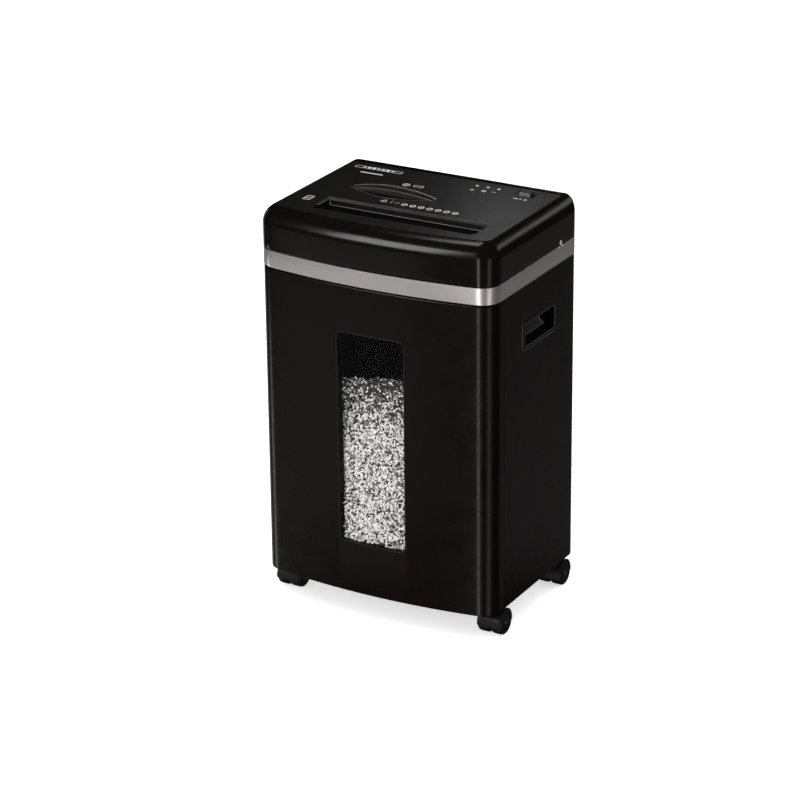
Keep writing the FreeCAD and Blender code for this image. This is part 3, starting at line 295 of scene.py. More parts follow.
class Surface:
    """A node material with one principled shader, in object space."""

    def __init__(self, name, colour, roughness, metallic=0.0, specular=0.5):
        self.material = bpy.data.materials.new(name)
        self.material.use_nodes = True
        self.tree = self.material.node_tree
        self.shader = self.tree.nodes["Principled BSDF"]
        self.shader.inputs["Base Color"].default_value = (*colour, 1)
        self.shader.inputs["Roughness"].default_value = roughness
        self.shader.inputs["Metallic"].default_value = metallic
        self.shader.inputs["Specular IOR Level"].default_value = specular
        self.space = self.add("ShaderNodeTexCoord").outputs["Object"]
        self.bump_out = None

    def add(self, kind, **settings):
        item = self.tree.nodes.new(kind)
        for prop, value in settings.items():
            setattr(item, prop, value)
        return item

    def link(self, source, target):
        self.tree.links.new(source, target)

    def stretched(self, scale):
        mapping = self.add("ShaderNodeMapping")
        mapping.inputs["Scale"].default_value = scale
        self.link(self.space, mapping.inputs["Vector"])
        return mapping.outputs["Vector"]

    def noise(self, scale, detail=3.0, stretch=(1, 1, 1)):
        item = self.add("ShaderNodeTexNoise")
        item.inputs["Scale"].default_value = scale
        item.inputs["Detail"].default_value = detail
        self.link(self.stretched(stretch) if stretch != (1, 1, 1) else self.space, item.inputs["Vector"])
        return item.outputs["Fac"]

    def voronoi(self, scale):
        item = self.add("ShaderNodeTexVoronoi")
        item.inputs["Scale"].default_value = scale
        self.link(self.space, item.inputs["Vector"])
        return item.outputs["Distance"]

    def ranged(self, source, low, high, start=0.3, end=0.7):
        item = self.add("ShaderNodeMapRange")
        item.inputs["From Min"].default_value = start
        item.inputs["From Max"].default_value = end
        item.inputs["To Min"].default_value = low
        item.inputs["To Max"].default_value = high
        self.link(source, item.inputs["Value"])
        return item.outputs["Result"]

    def vary_roughness(self, source, low, high):
        self.link(self.ranged(source, low, high), self.shader.inputs["Roughness"])
        return self

    def vary_colour(self, source, dark, light, start=0.3, end=0.7):
        item = self.add("ShaderNodeMix", data_type="RGBA")
        item.inputs["A"].default_value = (*dark, 1)
        item.inputs["B"].default_value = (*light, 1)
        self.link(self.ranged(source, 0, 1, start, end), item.inputs["Factor"])
        self.link(item.outputs["Result"], self.shader.inputs["Base Color"])
        return self

    def bump(self, source, height, strength=1.0):
        item = self.add("ShaderNodeBump")
        item.inputs["Strength"].default_value = strength
        item.inputs["Distance"].default_value = height
        self.link(source, item.inputs["Height"])
        if self.bump_out is not None:
            self.link(self.bump_out, item.inputs["Normal"])
        self.bump_out = item.outputs["Normal"]
        self.link(self.bump_out, self.shader.inputs["Normal"])
        return self


def tinted(colour, factor):
    return tuple(min(1.0, c * factor) for c in colour)


def plastic(name, colour, low, high, specular=0.3, grain=0.0, grain_scale=2600):
    """Moulded plastic: uneven sheen from handling, and a fine spark-eroded grain if asked."""
    surface = Surface(name, colour, low, specular=specular)
    surface.vary_roughness(surface.noise(38), low, high)
    surface.vary_colour(surface.noise(9), tinted(colour, 0.9), tinted(colour, 1.12))
    if grain:
        surface.bump(surface.noise(grain_scale, 2.0), grain * MM)
    return surface.material


def brushed(name, colour, low, high, stretch):
    """Metal with fine lines along one direction."""
    surface = Surface(name, colour, low, metallic=1.0)
    lines = surface.noise(900, 2.0, stretch)
    surface.vary_roughness(lines, low, high)
    surface.vary_colour(surface.noise(60), tinted(colour, 0.86), tinted(colour, 1.08))
    surface.bump(lines, 0.01 * MM)
    return surface.material


def silver_paint(name, colour):
    """Satin silver paint, with a faint drift in tone."""
    surface = Surface(name, colour, 0.34, metallic=0.85, specular=0.5)
    surface.vary_colour(surface.noise(25), tinted(colour, 0.99), tinted(colour, 1.01))
    return surface.material


def clear_plastic(name, tint, alpha):
    """Thin clear polystyrene, slightly smoked."""
    surface = Surface(name, tint, 0.06, specular=0.45)
    surface.shader.inputs["Alpha"].default_value = alpha
    surface.vary_roughness(surface.noise(22), 0.04, 0.09)
    return surface.material


def paper(name, colour, ink):
    """Uncoated office paper, with faint fibre and scraps of print."""
    surface = Surface(name, colour, 0.85, specular=0.15)
    surface.vary_colour(surface.noise(420, 4.0), ink, colour, 0.28, 0.42)
    surface.bump(surface.noise(3000), 0.01 * MM)
    return surface.material


def circuit(name):
    """Green solder mask with copper tracks under it."""
    surface = Surface(name, (0.02, 0.12, 0.05), 0.35, specular=0.5)
    surface.vary_colour(surface.voronoi(160), (0.05, 0.22, 0.09), (0.015, 0.09, 0.035), 0.02, 0.3)
    surface.bump(surface.voronoi(160), 0.03 * MM)
    return surface.material


def lamp_glass(name, tint, glow):
    surface = Surface(name, tint, 0.2, specular=0.5)
    surface.shader.inputs["Emission Color"].default_value = (*tint, 1)
    surface.shader.inputs["Emission Strength"].default_value = glow
    surface.vary_roughness(surface.noise(900), 0.15, 0.3)
    return surface.material


BODY = plastic("body_plastic", (0.0033, 0.0014, 0.0011), 0.25, 0.3, 0.13, 0.003, 3200)
INNER = plastic("inner_plastic", (0.004, 0.0035, 0.0033), 0.48, 0.6, 0.12, 0.02)
GLOSS = plastic("gloss_black", (0.0036, 0.0025, 0.0022), 0.17, 0.21, 0.16)
PANEL = plastic("panel_black", (0.0085, 0.0065, 0.006), 0.38, 0.45, 0.42, 0.02, 2600)
RECESS = plastic("recess_black", (0.0032, 0.0026, 0.0024), 0.3, 0.36, 0.16, 0.006)
# Painted shade: a near-black dull plastic for the card scoop, the throat's ends, the strips round the slot
# and the grip pockets, where shade falls.
SHADE = plastic("painted_shade_black", (0.0008, 0.0007, 0.0007), 0.7, 0.8, 0.04, 0.006)
# Painted highlights: these lighter greys go on thin beads along edges and stand in for light caught on them.
EDGE_HIGHLIGHT = plastic("painted_edge_highlight", (0.034, 0.031, 0.03), 0.3, 0.4, 0.4)
LIP_HIGHLIGHT = plastic("painted_lip_highlight", (0.085, 0.079, 0.076), 0.3, 0.4, 0.5)
CASTER = plastic("caster_plastic", (0.0045, 0.004, 0.0038), 0.36, 0.46, 0.25, 0.01)
BUTTON = plastic("button_grey", (0.01, 0.009, 0.0085), 0.34, 0.42, 0.4, 0.01)
RUBBER = plastic("rubber", (0.016, 0.016, 0.016), 0.7, 0.8, 0.2, 0.03)
NYLON = plastic("gear_nylon", (0.62, 0.6, 0.52), 0.4, 0.5, 0.5, 0.01)
SILVER = silver_paint("silver_trim", (0.49, 0.462, 0.441))
PLATE = brushed("badge_metal", (0.45, 0.44, 0.42), 0.3, 0.4, (1, 12, 12))
STEEL = brushed("steel", (0.5, 0.5, 0.49), 0.28, 0.4, (1, 1, 14))
CUTTER = brushed("cutter_steel", (0.36, 0.35, 0.34), 0.22, 0.36, (14, 1, 1))
BRONZE = brushed("bronze", (0.42, 0.26, 0.11), 0.35, 0.5, (14, 1, 1))
DARK_STEEL = plastic("dark_steel", (0.03, 0.03, 0.031), 0.4, 0.55, 0.5, 0.01)
MOTOR = plastic("motor_paint", (0.04, 0.041, 0.044), 0.35, 0.5, 0.5, 0.015)
WINDOW = clear_plastic("clear_window", (0.008, 0.01, 0.009), 0.08)
PCB = circuit("circuit_board")
LAMP = lamp_glass("lamp_lens", (0.5, 0.52, 0.5), 0.0)
PRINT = plastic("printed_marks", (0.68, 0.66, 0.64), 0.5, 0.6, 0.2)
SHRED_WHITE = paper("shred_white", (0.97, 0.96, 0.95), (0.88, 0.87, 0.86))
SHRED_GREY = paper("shred_grey", (0.5, 0.49, 0.48), (0.14, 0.14, 0.14))
SHRED_DARK = paper("shred_dark", (0.05, 0.048, 0.046), (0.012, 0.012, 0.012))
SLOT_MATERIALS = {
    "body_plastic": BODY, "inner_plastic": INNER, "gloss_black": GLOSS, "panel_black": PANEL,
    "silver_trim": SILVER, "clear_window": WINDOW, "shredded_paper": SHRED_WHITE, "steel": STEEL,
    "dark_steel": DARK_STEEL, "cutter_steel": CUTTER, "gear_steel": CUTTER, "gear_nylon": NYLON,
    "bronze": BRONZE, "motor_paint": MOTOR, "motor_core": STEEL, "circuit_board": PCB, "rubber": RUBBER,
    "caster_plastic": CASTER, "button_grey": BUTTON, "lamp_lens": LAMP, "badge_metal": PLATE,
}


def dress_cad_nodes():
    """Every CAD node that stays gets the material of its slot."""
    for entry in frame["record"]["subparts"]:
        mesh = nodes[entry["node"]].data
        mesh.materials.clear()
        mesh.materials.append(SLOT_MATERIALS[entry["material_slot"]])


# ------------------------------------------------------------------ head

ROUND_RADIUS = 26.9 * MM
ROUND_START = TOP_Z - 25 * MM
REAR_ROUND = 11 * MM
FRONT_STRETCH = 1.18


def dome_ring(angle, thickness=0.0):
    """One ring of the head's rounded edge, at an angle up from the side, set in by a thickness."""
    climb = ROUND_RADIUS * (1 - math.cos(angle))
    level = ROUND_START + ROUND_RADIUS * math.sin(angle) - thickness
    rise = max(0.0, level + thickness - (TOP_Z - REAR_ROUND))
    rear = REAR_ROUND - math.sqrt(max(0.0, REAR_ROUND ** 2 - rise ** 2))
    rear_corner = max(REAR_CORNER - 0.8 * climb - 0.4 * thickness, 0.5 * MM)
    plan = plan_outline(climb + thickness, climb * FRONT_STRETCH + thickness, rear + thickness,
                        FRONT_CORNER - climb - thickness, rear_corner)
    return [(x, y, level) for x, y in plan]


def panel_ring(level, grow=0.0):
    """The cover's opening for the top panel at a height, let out by grow."""
    side, front, rear, front_corner, rear_corner = 17.4 * MM, 20.6 * MM, 21.1 * MM, 12 * MM, 6 * MM
    plan = plan_outline(side - grow, front - grow, rear - grow, front_corner + grow, rear_corner + grow)
    return [(x, y, level) for x, y in plan]


def flat_ring(inset, level):
    return [(x, y, level) for x, y in plan_outline(inset)]


def make_head_cover():
    steepest = math.asin((TOP_Z - ROUND_START) / ROUND_RADIUS)
    foot = cover_low.z
    rings = [flat_ring(WALL, foot), flat_ring(1.2 * MM, foot), flat_ring(0.9 * MM, foot + 0.2 * MM),
             flat_ring(0.2 * MM, foot + 1.2 * MM), flat_ring(0, foot + 1.7 * MM)]
    rings += [flat_ring(0, foot + (ROUND_START - foot) * k / 4) for k in range(1, 4)]
    rings += [dome_ring(steepest * k / 22) for k in range(23)]
    rings += [panel_ring(TOP_Z, 0.25 * MM), panel_ring(TOP_Z - 0.25 * MM), panel_ring(TOP_Z - 3 * MM)]
    rings += [dome_ring(steepest * k / 6, WALL) for k in range(6, -1, -1)]
    mesh = loft_mesh("head_cover", rings, True)
    inside, outside = REAR_Y - 8 * MM, REAR_Y + 4 * MM
    first, pitch, half, low, high = -70 * MM, 10 * MM, 2 * MM, 541 * MM, 569 * MM
    vents = []
    for k in range(15):
        middle = first + pitch * k
        slot = rounded_rectangle((middle - half, low), (middle + half, high), 1.9 * MM, 4)
        vents.append(prism_mesh("vent", slot, inside, outside, lambda u, v, d: (u, d, v)))
    gland_low, gland_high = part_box("cord_gland")
    gland = (gland_low + gland_high) / 2
    ring = arc_points(gland.x, gland.z, 8.5 * MM, 0, math.tau, 40)[:-1]
    vents.append(prism_mesh("gland_way", ring, inside, outside, lambda u, v, d: (u, d, v)))
    finish_mesh("head_cover_shape", carved(mesh, *vents), "root", GLOSS, ["head_cover"])


def make_band():
    low, high, depth = band_low.z + 1.3 * MM, band_high.z, 4.2 * MM
    profile = soften([(0, low), (0, high), (depth, high), (depth, low)], 0.5 * MM, 3)
    finish_mesh("silver_band_shape", swept_wall("silver_band", profile), "root", SILVER,
                ["silver_band"])


def make_head_details():
    """The panel with painted shade in its scoop, the throat with painted shade on its ends, and the small
    parts.
    """
    panel = rounded_node("top_panel", 0.45 * MM, PANEL, 3)
    # Painted shade: faces down in the card scoop take the near-black shade material.
    panel.data.materials.append(SHADE)
    scoop_x, scoop_y, half_length, half_width = -44 * MM, 3 * MM, 68 * MM, 11 * MM
    for polygon in panel.data.polygons:
        middle = polygon.center
        in_scoop = abs(middle.x - scoop_x) < half_length and abs(middle.y - scoop_y) < half_width
        if in_scoop and middle.z < TOP_Z - 0.3 * MM:
            polygon.material_index = 1
    throat = rounded_node("throat_insert", 0.3 * MM, RECESS)
    # Painted shade: the throat's sloped end walls take the near-black shade material.
    throat.data.materials.append(SHADE)
    for polygon in throat.data.polygons:
        if abs(polygon.normal.x) > 0.4:
            polygon.material_index = 1
    rounded_node("card_slot_guide", 0.9 * MM, PANEL, 3)
    rounded_node("switch_bezel", 0.4 * MM, PANEL)
    rounded_node("power_switch", 0.8 * MM, BUTTON, 3)
    rounded_node("badge_plate", 0.25 * MM, RECESS)


# ------------------------------------------------------------------ painted highlights on the edges of the panel and the grips, and painted shade round the slot

def bead(name, path, radius, material, closed=False, up=(0, 0, 1)):
    """A thin rounded bead along a path of points."""
    points = [Vector(point) for point in path]
    count, sides = len(points), 8
    rows = [[] for _ in range(sides)]
    for k, here in enumerate(points):
        before = points[k - 1] if closed or k else here
        after = points[(k + 1) % count] if closed or k < count - 1 else here
        along = (after - before).normalized()
        side = along.cross(Vector(up)).normalized()
        other = side.cross(along)
        for j in range(sides):
            turn = math.tau * j / sides
            rows[j].append(here + (side * math.cos(turn) + other * math.sin(turn)) * radius)
    finish_mesh(name, loft_mesh(name, rows, closed), "root", material, sharp=80)


def make_recess_edges():
    """Painted highlights on the edges of the paper recess, and painted shade round its slot: near-black
    strips under the slot lip and in front of the recess.
    """
    left, right = -115 * MM, 140 * MM
    rear, front = -41 * MM, -79 * MM
    bead("recess_edge_rear", [(left, rear, TOP_Z), (right, rear, TOP_Z)], 0.5 * MM, EDGE_HIGHLIGHT)
    corner = (left + 6.8 * MM, rear - 8 * MM, TOP_Z - 7.8 * MM)
    bead("recess_edge_left", [(left, rear, TOP_Z), corner], 0.6 * MM, LIP_HIGHLIGHT)
    bead("recess_edge_right", [(right, rear, TOP_Z), (right, front, TOP_Z)], 0.45 * MM, EDGE_HIGHLIGHT)
    lip_y, lip_drop = -49.2 * MM, 8 * MM
    lip = [(left + 5.5 * MM, lip_y, TOP_Z - lip_drop), (right - 11 * MM, lip_y, TOP_Z - lip_drop)]
    bead("slot_lip", lip, 0.6 * MM, LIP_HIGHLIGHT)
    # Painted shade: a thin near-black strip on the throat wall under the slot lip stands for the shade in the
    # slot.
    drop, reach, skin = 4.4 * MM, 3.8 * MM, 0.5 * MM
    upper = (lip_y - 0.4 * MM, TOP_Z - lip_drop - 0.8 * MM)
    lower = (upper[0] - reach, upper[1] - drop)
    section = [lower, (lower[0] - skin, lower[1] + skin), (upper[0] - skin, upper[1] + skin), upper]
    slot_shade = prism_mesh("slot_painted_shade", section, left + 7.5 * MM, right - 14 * MM, lambda u, v, d: (d, u, v))
    finish_mesh("slot_painted_shade", slot_shade, "root", SHADE)
    # Painted shade: a near-black sheet on the panel in front of the recess stands for its shaded front slope.
    shade_rear, shade_front, slant = front + 0.5 * MM, -90 * MM, 5 * MM
    plan = [(left, shade_rear), (left + slant, shade_front),
            (right - slant, shade_front), (right, shade_rear)]
    front_shade = prism_mesh("recess_front_shade", plan, TOP_Z - 0.4 * MM, TOP_Z + 0.15 * MM, lambda u, v, d: (u, v, d))
    finish_mesh("recess_front_shade", front_shade, "root", SHADE)


def lip_path(left, right, rise, y):
    """Points along an arched lip's crest, from its chord and rise."""
    half = (right - left) / 2
    radius = (half * half + rise * rise) / (2 * rise)
    turn, steps = math.asin(half / radius), 24
    angles = [turn * (2 * k / steps - 1) for k in range(steps + 1)]
    middle, level = (left + right) / 2, TOP_Z + rise - radius
    return [(middle + radius * math.sin(a), y, level + radius * math.cos(a)) for a in angles]


def make_card_slot_edges():
    """Painted highlights along the crests of the card slot's two lips and along the bowed edge of the scoop
    before them.
    """
    left, right = -110 * MM, 22 * MM
    bead("lip_crest_front", lip_path(left, right, 6 * MM, 9.2 * MM), 0.45 * MM, EDGE_HIGHLIGHT)
    bead("lip_crest_rear", lip_path(left, right, 9 * MM, 19.6 * MM), 0.55 * MM, LIP_HIGHLIGHT)
    half, chord_y, sag, steps = 58 * MM, 8.5 * MM, 15.5 * MM, 24
    bow = []
    for k in range(steps + 1):
        t = 2 * k / steps - 1
        bow.append(((left + right) / 2 + half * t, chord_y - sag * (1 - t * t), TOP_Z))
    bead("scoop_edge", bow, 0.45 * MM, EDGE_HIGHLIGHT)


def make_grip_edges(side):
    """Painted highlights on the rim of a grip pocket and along the fold of its upper wall, and the fold
    itself.
    """
    cup_low, cup_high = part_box(f"grip_cup_{side}")
    sign = math.copysign(1, cup_low.x)
    face = sign * (HALF_WIDTH - SKIN)
    front, rear = cup_low.y + GRIP_RIM, cup_high.y - GRIP_RIM
    low, high = cup_low.z + GRIP_RIM, cup_high.z - GRIP_RIM
    sideways = (1, 0, 0)
    opening = [(face, y, z) for y, z in rounded_rectangle((front, low), (rear, high), 2.5 * MM, 5)]
    bead(f"grip_edge_{side}", opening, 0.55 * MM, EDGE_HIGHLIGHT, True, sideways)
    outer = front - 7 * MM
    foot = low - 4.6 * MM
    rim = [(front - 4 * MM, high + 4.5 * MM), (front - 6 * MM, high + 3 * MM), (outer, high), (outer, low),
           (front - 5.5 * MM, low - 3 * MM), (front - 2 * MM, foot), (rear - 2 * MM, foot)]
    bead(f"grip_rim_{side}", [(face, y, z) for y, z in rim], 0.75 * MM, EDGE_HIGHLIGHT, False, sideways)
    fold, depth = face - sign * 2.2 * MM, 7 * MM
    fold_foot, fold_start = low + 15.5 * MM, front + 1 * MM
    short, long = front + 42 * MM, front + 61 * MM
    outline = [(fold_start, fold_foot), (long, fold_foot), (short, high), (fold_start, high)]
    near, far = sorted((fold, fold - sign * depth))
    block = prism_mesh("grip_fold", outline, near, far, lambda u, v, d: (d, u, v))
    block = modified(block, ("BEVEL", {"width": 1.2 * MM, "segments": 3}))
    finish_mesh(f"grip_fold_{side}", block, "root", PANEL)
    tip = (fold, long - 1 * MM, fold_foot + 0.5 * MM)
    bead(f"grip_fold_end_{side}", [(fold, short, high - 1 * MM), tip], 0.7 * MM, LIP_HIGHLIGHT, False, sideways)
    heel = (fold, front + 2 * MM, fold_foot + 0.5 * MM)
    bead(f"grip_fold_edge_{side}", [tip, heel], 0.6 * MM, EDGE_HIGHLIGHT, False, sideways)


def make_edges():
    make_recess_edges()
    make_card_slot_edges()
    for side in ("left", "right"):
        make_grip_edges(side)


# ------------------------------------------------------------------ cabinet and bin front

def bowed(x, z, depth):
    """A point on the bowed front, a depth behind its outermost surface."""
    bow_y = FRONT_Y + BOW_RADIUS
    return Vector((x, bow_y - math.sqrt((BOW_RADIUS - depth) ** 2 - x * x), z))


def make_cabinet():
    low, high = shell_low.z, shell_high.z
    outer, inner = SKIN, SKIN + WALL
    tray, floor, step = 462 * MM, low + 4 * MM, 4 * MM
    tray_ledge, floor_ledge = 11 * MM, 13 * MM
    rim = [(outer, high - 1.8 * MM), (outer + 0.5 * MM, high - 0.5 * MM), (outer + 1.8 * MM, high)]
    outline = [(outer, low), *rim, (inner, high), (inner, tray), (tray_ledge, tray),
               (tray_ledge, tray - step), (inner, tray - step), (inner, floor + step),
               (floor_ledge, floor + step), (floor_ledge, floor), (inner, floor), (inner, low)]
    mesh = swept_wall("cabinet_shell", soften(outline, 0.7 * MM, 2), "rear")
    margin, reach = 3.2 * MM, 12 * MM
    holes = []
    for grip_low, grip_high in (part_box("grip_cup_left"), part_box("grip_cup_right")):
        side = math.copysign(HALF_WIDTH, grip_low.x)
        holes.append(block_mesh("grip_way", (side - reach, grip_low.y + margin, grip_low.z + margin),
                                (side + reach, grip_high.y - margin, grip_high.z - margin)))
    finish_mesh("cabinet_shell_shape", carved(mesh, *holes), "root", BODY, ["cabinet_shell"])
    for side in ("left", "right"):
        # Painted shade: each grip pocket's inside takes the near-black shade material; only its outer rim
        # keeps the body plastic.
        cup = rounded_node(f"grip_cup_{side}", 0.5 * MM, SHADE, 3)
        cup.data.materials.append(BODY)
        for polygon in cup.data.polygons:
            if abs(polygon.center.x) > HALF_WIDTH - 1.5 * MM:
                polygon.material_index = 1


def make_bin_front():
    low, high = front_low.z, front_high.z
    rim = [(SKIN, high - 1.8 * MM), (SKIN + 0.5 * MM, high - 0.5 * MM), (SKIN + 1.8 * MM, high)]
    outline = [(SKIN, low), *rim, (SKIN + WALL, high), (SKIN + WALL, low)]
    mesh = swept_wall("bin_front", soften(outline, 0.9 * MM), "front")
    window = rounded_rectangle((pane_low.x, pane_low.z), (pane_high.x, pane_high.z), WINDOW_CORNER)
    hole = prism_mesh("window_way", window, FRONT_Y - 10 * MM, -100 * MM, lambda u, v, d: (u, d, v))
    finish_mesh("bin_front_shape", carved(mesh, hole), "bin", BODY, ["bin_front"])
    tab = block_mesh("interlock_tab", (136 * MM, -124.4 * MM, 446 * MM), (148 * MM, -96 * MM, 451 * MM))
    tab = modified(tab, ("BEVEL", {"width": 0.6 * MM, "segments": 2}))
    finish_mesh("interlock_tab", tab, "bin", BODY)


def frame_on_bow(name, low, high, radius, profile):
    """A thin rounded frame on the bowed front, from a closed profile of (outset, depth) points."""
    corner_steps = 10
    rings = []
    for outset, depth in profile:
        outline = rounded_rectangle((low[0] - outset, low[1] - outset), (high[0] + outset, high[1] + outset),
                                    radius + outset, corner_steps)
        rings.append([bowed(x, z, depth) for x, z in subdivided(outline, corner_steps)])
    return loft_mesh(name, rings, True)


def subdivided(outline, corner_steps):
    """The straight runs of a rounded rectangle split evenly, by the same counts at any size."""
    short_run, long_run = 4, 10
    made = []
    count = len(outline)
    for k in range(count):
        start, end = Vector(outline[k]), Vector(outline[(k + 1) % count])
        side, place = divmod(k, corner_steps + 1)
        pieces = 1
        if place == corner_steps:
            pieces = short_run if side in (0, 2) else long_run
        made += [tuple(start.lerp(end, j / pieces)) for j in range(pieces)]
    return made


def make_window():
    low, high = (pane_low.x, pane_low.z), (pane_high.x, pane_high.z)
    bezel = [(0.0, 0.2 * MM), (-0.2 * MM, 0.0), (1.2 * MM, 0.0), (1.5 * MM, 0.2 * MM), (1.5 * MM, 0.6 * MM),
             (1.1 * MM, 1.2 * MM), (0.0, 1.2 * MM), (-1.3 * MM, 1.2 * MM), (-1.3 * MM, 0.6 * MM)]
    ring = frame_on_bow("window_bezel", low, high, WINDOW_CORNER, bezel)
    finish_mesh("window_bezel", ring, "bin", INNER)
    depth, thickness = 1.6 * MM, 2 * MM
    steps_x, steps_z = 14, 4
    verts, faces = [], []
    for layer in (depth, depth + thickness):
        for j in range(steps_z + 1):
            for k in range(steps_x + 1):
                x = pane_low.x + (pane_high.x - pane_low.x) * k / steps_x
                z = pane_low.z + (pane_high.z - pane_low.z) * j / steps_z
                verts.append(bowed(x, z, layer))
    layer_size = (steps_x + 1) * (steps_z + 1)
    for j in range(steps_z):
        for k in range(steps_x):
            a = j * (steps_x + 1) + k
            quad = (a, a + 1, a + steps_x + 2, a + steps_x + 1)
            faces += [quad, tuple(i + layer_size for i in reversed(quad))]
    rim = list(range(steps_x))
    rim += [j * (steps_x + 1) + steps_x for j in range(steps_z)]
    rim += [steps_z * (steps_x + 1) + k for k in range(steps_x, 0, -1)]
    rim += [j * (steps_x + 1) for j in range(steps_z, 0, -1)]
    for a, b in zip(rim, rim[1:] + rim[:1]):
        faces.append((a, a + layer_size, b + layer_size, b))
    finish_mesh("window_pane_shape", mesh_of("window_pane", verts, faces), "bin", WINDOW,
                ["window_pane"])
    rounded_node("window_frame", 0.4 * MM, INNER)


# ------------------------------------------------------------------ shredded paper

def strip_points(centre, direction, across, normal, length, width, curl):
    """Cross-sections along one shred, curled about its middle."""
    sections = []
    for t in (-0.5, 0.0, 0.5):
        lift = curl * (4 * t * t)
        middle = centre + direction * (length * t) + normal * lift
        for side, face in ((-0.5, -0.5), (0.5, -0.5), (0.5, 0.5), (-0.5, 0.5)):
            sections.append(middle + across * (width * side) + normal * (SHRED_THICKNESS * face))
    return sections


def make_shreds():
    """Confetti over the front and top of the heap, on a lumpy core."""
    front_scraps, lower_scraps, top_scraps = 11000, 4500, 6000
    verts, faces, tones = [], [], []

    def add_strip(centre, normal, tilt, white=0.7):
        spin = random.uniform(0, math.tau)
        side = normal.orthogonal().normalized()
        other = normal.cross(side)
        direction = (side * math.cos(spin) + other * math.sin(spin)).normalized()
        lean = (direction + normal * random.uniform(-tilt, tilt)).normalized()
        across = lean.cross(normal + Vector((random.uniform(-0.5, 0.5),) * 3)).normalized()
        up = lean.cross(across).normalized()
        length = random.uniform(2.4, 5.8) * MM
        width = random.uniform(1.4, 2.6) * MM
        base = len(verts)
        verts.extend(strip_points(centre, lean, across, up, length, width, random.uniform(-0.8, 1.1) * MM))
        for k in range(2):
            for j in range(4):
                a = base + 4 * k + j
                b = base + 4 * k + (j + 1) % 4
                faces.append((a, b, b + 4, a + 4))
        faces.append((base + 3, base + 2, base + 1, base))
        faces.append((base + 8, base + 9, base + 10, base + 11))
        tone = random.choices((0, 1, 2), (white, 0.1, 0.9 - white))[0]
        tones.extend([tone] * 10)

    def whiteness(x, z):
        """The share of white scraps, cut down as painted shade at the top of the heap and at its upper left.
        """
        deep = min(1.0, max(0.0, (heap_high.z - z) / (85 * MM)))
        left = min(1.0, max(0.0, (-22 * MM - x) / (14 * MM)))
        upper = min(1.0, max(0.0, (z - 260 * MM) / (40 * MM)))
        return 0.05 + 0.66 * deep - 0.25 * left * upper * deep

    front_gap = heap_low.y - FRONT_Y
    for _ in range(front_scraps):
        x = random.uniform(pane_low.x - 18 * MM, pane_high.x + 18 * MM)
        z = random.uniform(pane_low.z - 12 * MM, heap_top(x, 0) - 1 * MM)
        depth = front_gap + random.uniform(0.5, 7) * MM
        add_strip(bowed(x, z, depth), Vector((0, -1, 0)), 0.35, whiteness(x, z))
    for _ in range(lower_scraps):
        x = random.uniform(pane_low.x + 4 * MM, pane_high.x - 4 * MM)
        z = pane_low.z + 1 * MM + (heap_high.z - 60 * MM - pane_low.z) * random.random() ** 1.3
        low_down = 1 - (z - pane_low.z) / (heap_high.z - pane_low.z)
        depth = front_gap - random.uniform(0, 11) * MM * low_down
        add_strip(bowed(x, z, depth), Vector((0, -1, 0)), 0.35, whiteness(x, z))
    for _ in range(top_scraps):
        x = random.uniform(heap_low.x + 4 * MM, heap_high.x - 4 * MM)
        front = bowed(x, 0, front_gap).y + 3 * MM
        y = random.uniform(front, heap_high.y - 4 * MM)
        z = heap_top(x, y - front) + random.uniform(-5, -0.5) * MM
        # Painted shade: the heap's top gets fewer white scraps than its front.
        add_strip(Vector((x, y, z)), Vector((0, 0, 1)), 0.5, 0.3)
    mesh = bpy.data.meshes.new("paper_shreds")
    mesh.from_pydata([tuple(v) for v in verts], [], faces)
    for material in (SHRED_WHITE, SHRED_GREY, SHRED_DARK):
        mesh.materials.append(material)
    mesh.polygons.foreach_set("material_index", tones)
    mesh.update()
    piece = bpy.data.objects.new("paper_confetti", mesh)
    scene.collection.objects.link(piece)
    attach(piece, "bin")
    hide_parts("paper_shreds")
    make_heap_core(front_gap)


def heap_top(x, depth):
    """Height of the heap's lumpy top, which falls away behind the window."""
    waves = math.sin(x * 61 + 1.0) + math.sin(x * 23 + depth * 37) + 0.6 * math.sin(x * 140 + depth * 90)
    fall = min(max(0.0, depth - 10 * MM) * 0.8, 90 * MM)
    lean = min(12 * MM, max(0.0, (45 * MM - x) * 0.1))
    return heap_high.z - 4 * MM + 1.6 * MM * waves - fall - lean


def make_heap_core(front_gap):
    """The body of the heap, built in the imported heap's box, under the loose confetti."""
    steps, layers, cover = 60, 8, 5 * MM
    columns = [0.985 * (heap_low.x + (heap_high.x - heap_low.x) * k / steps) for k in range(steps + 1)]

    def front(x, level):
        return min(bowed(x, 0, front_gap + 7.5 * MM).y + 0.6 * MM * math.sin(x * 500 + level * 31), -96 * MM)

    rows = []
    for level in range(layers + 1):
        t = level / layers
        height = [(heap_top(x, 0) - cover - heap_low.z) * t for x in columns]
        rows.append([(x, front(x, t), heap_low.z + z) for x, z in zip(columns, height)])
    for depth in (10, 24, 40, 60, 85, 112, 150):
        rows.append([(x, front(x, 1) + depth * MM, heap_top(x, depth * MM) - cover) for x in columns])
    rear = heap_high.y - 2 * MM
    rows.append([(x, rear, heap_top(x, rear - front(x, 1)) - cover) for x in columns])
    rows.append([(x, rear, heap_low.z) for x in columns])
    finish_mesh("heap_core", loft_mesh("heap_core", rows, False), "bin", SHRED_GREY)


# ------------------------------------------------------------------ casters

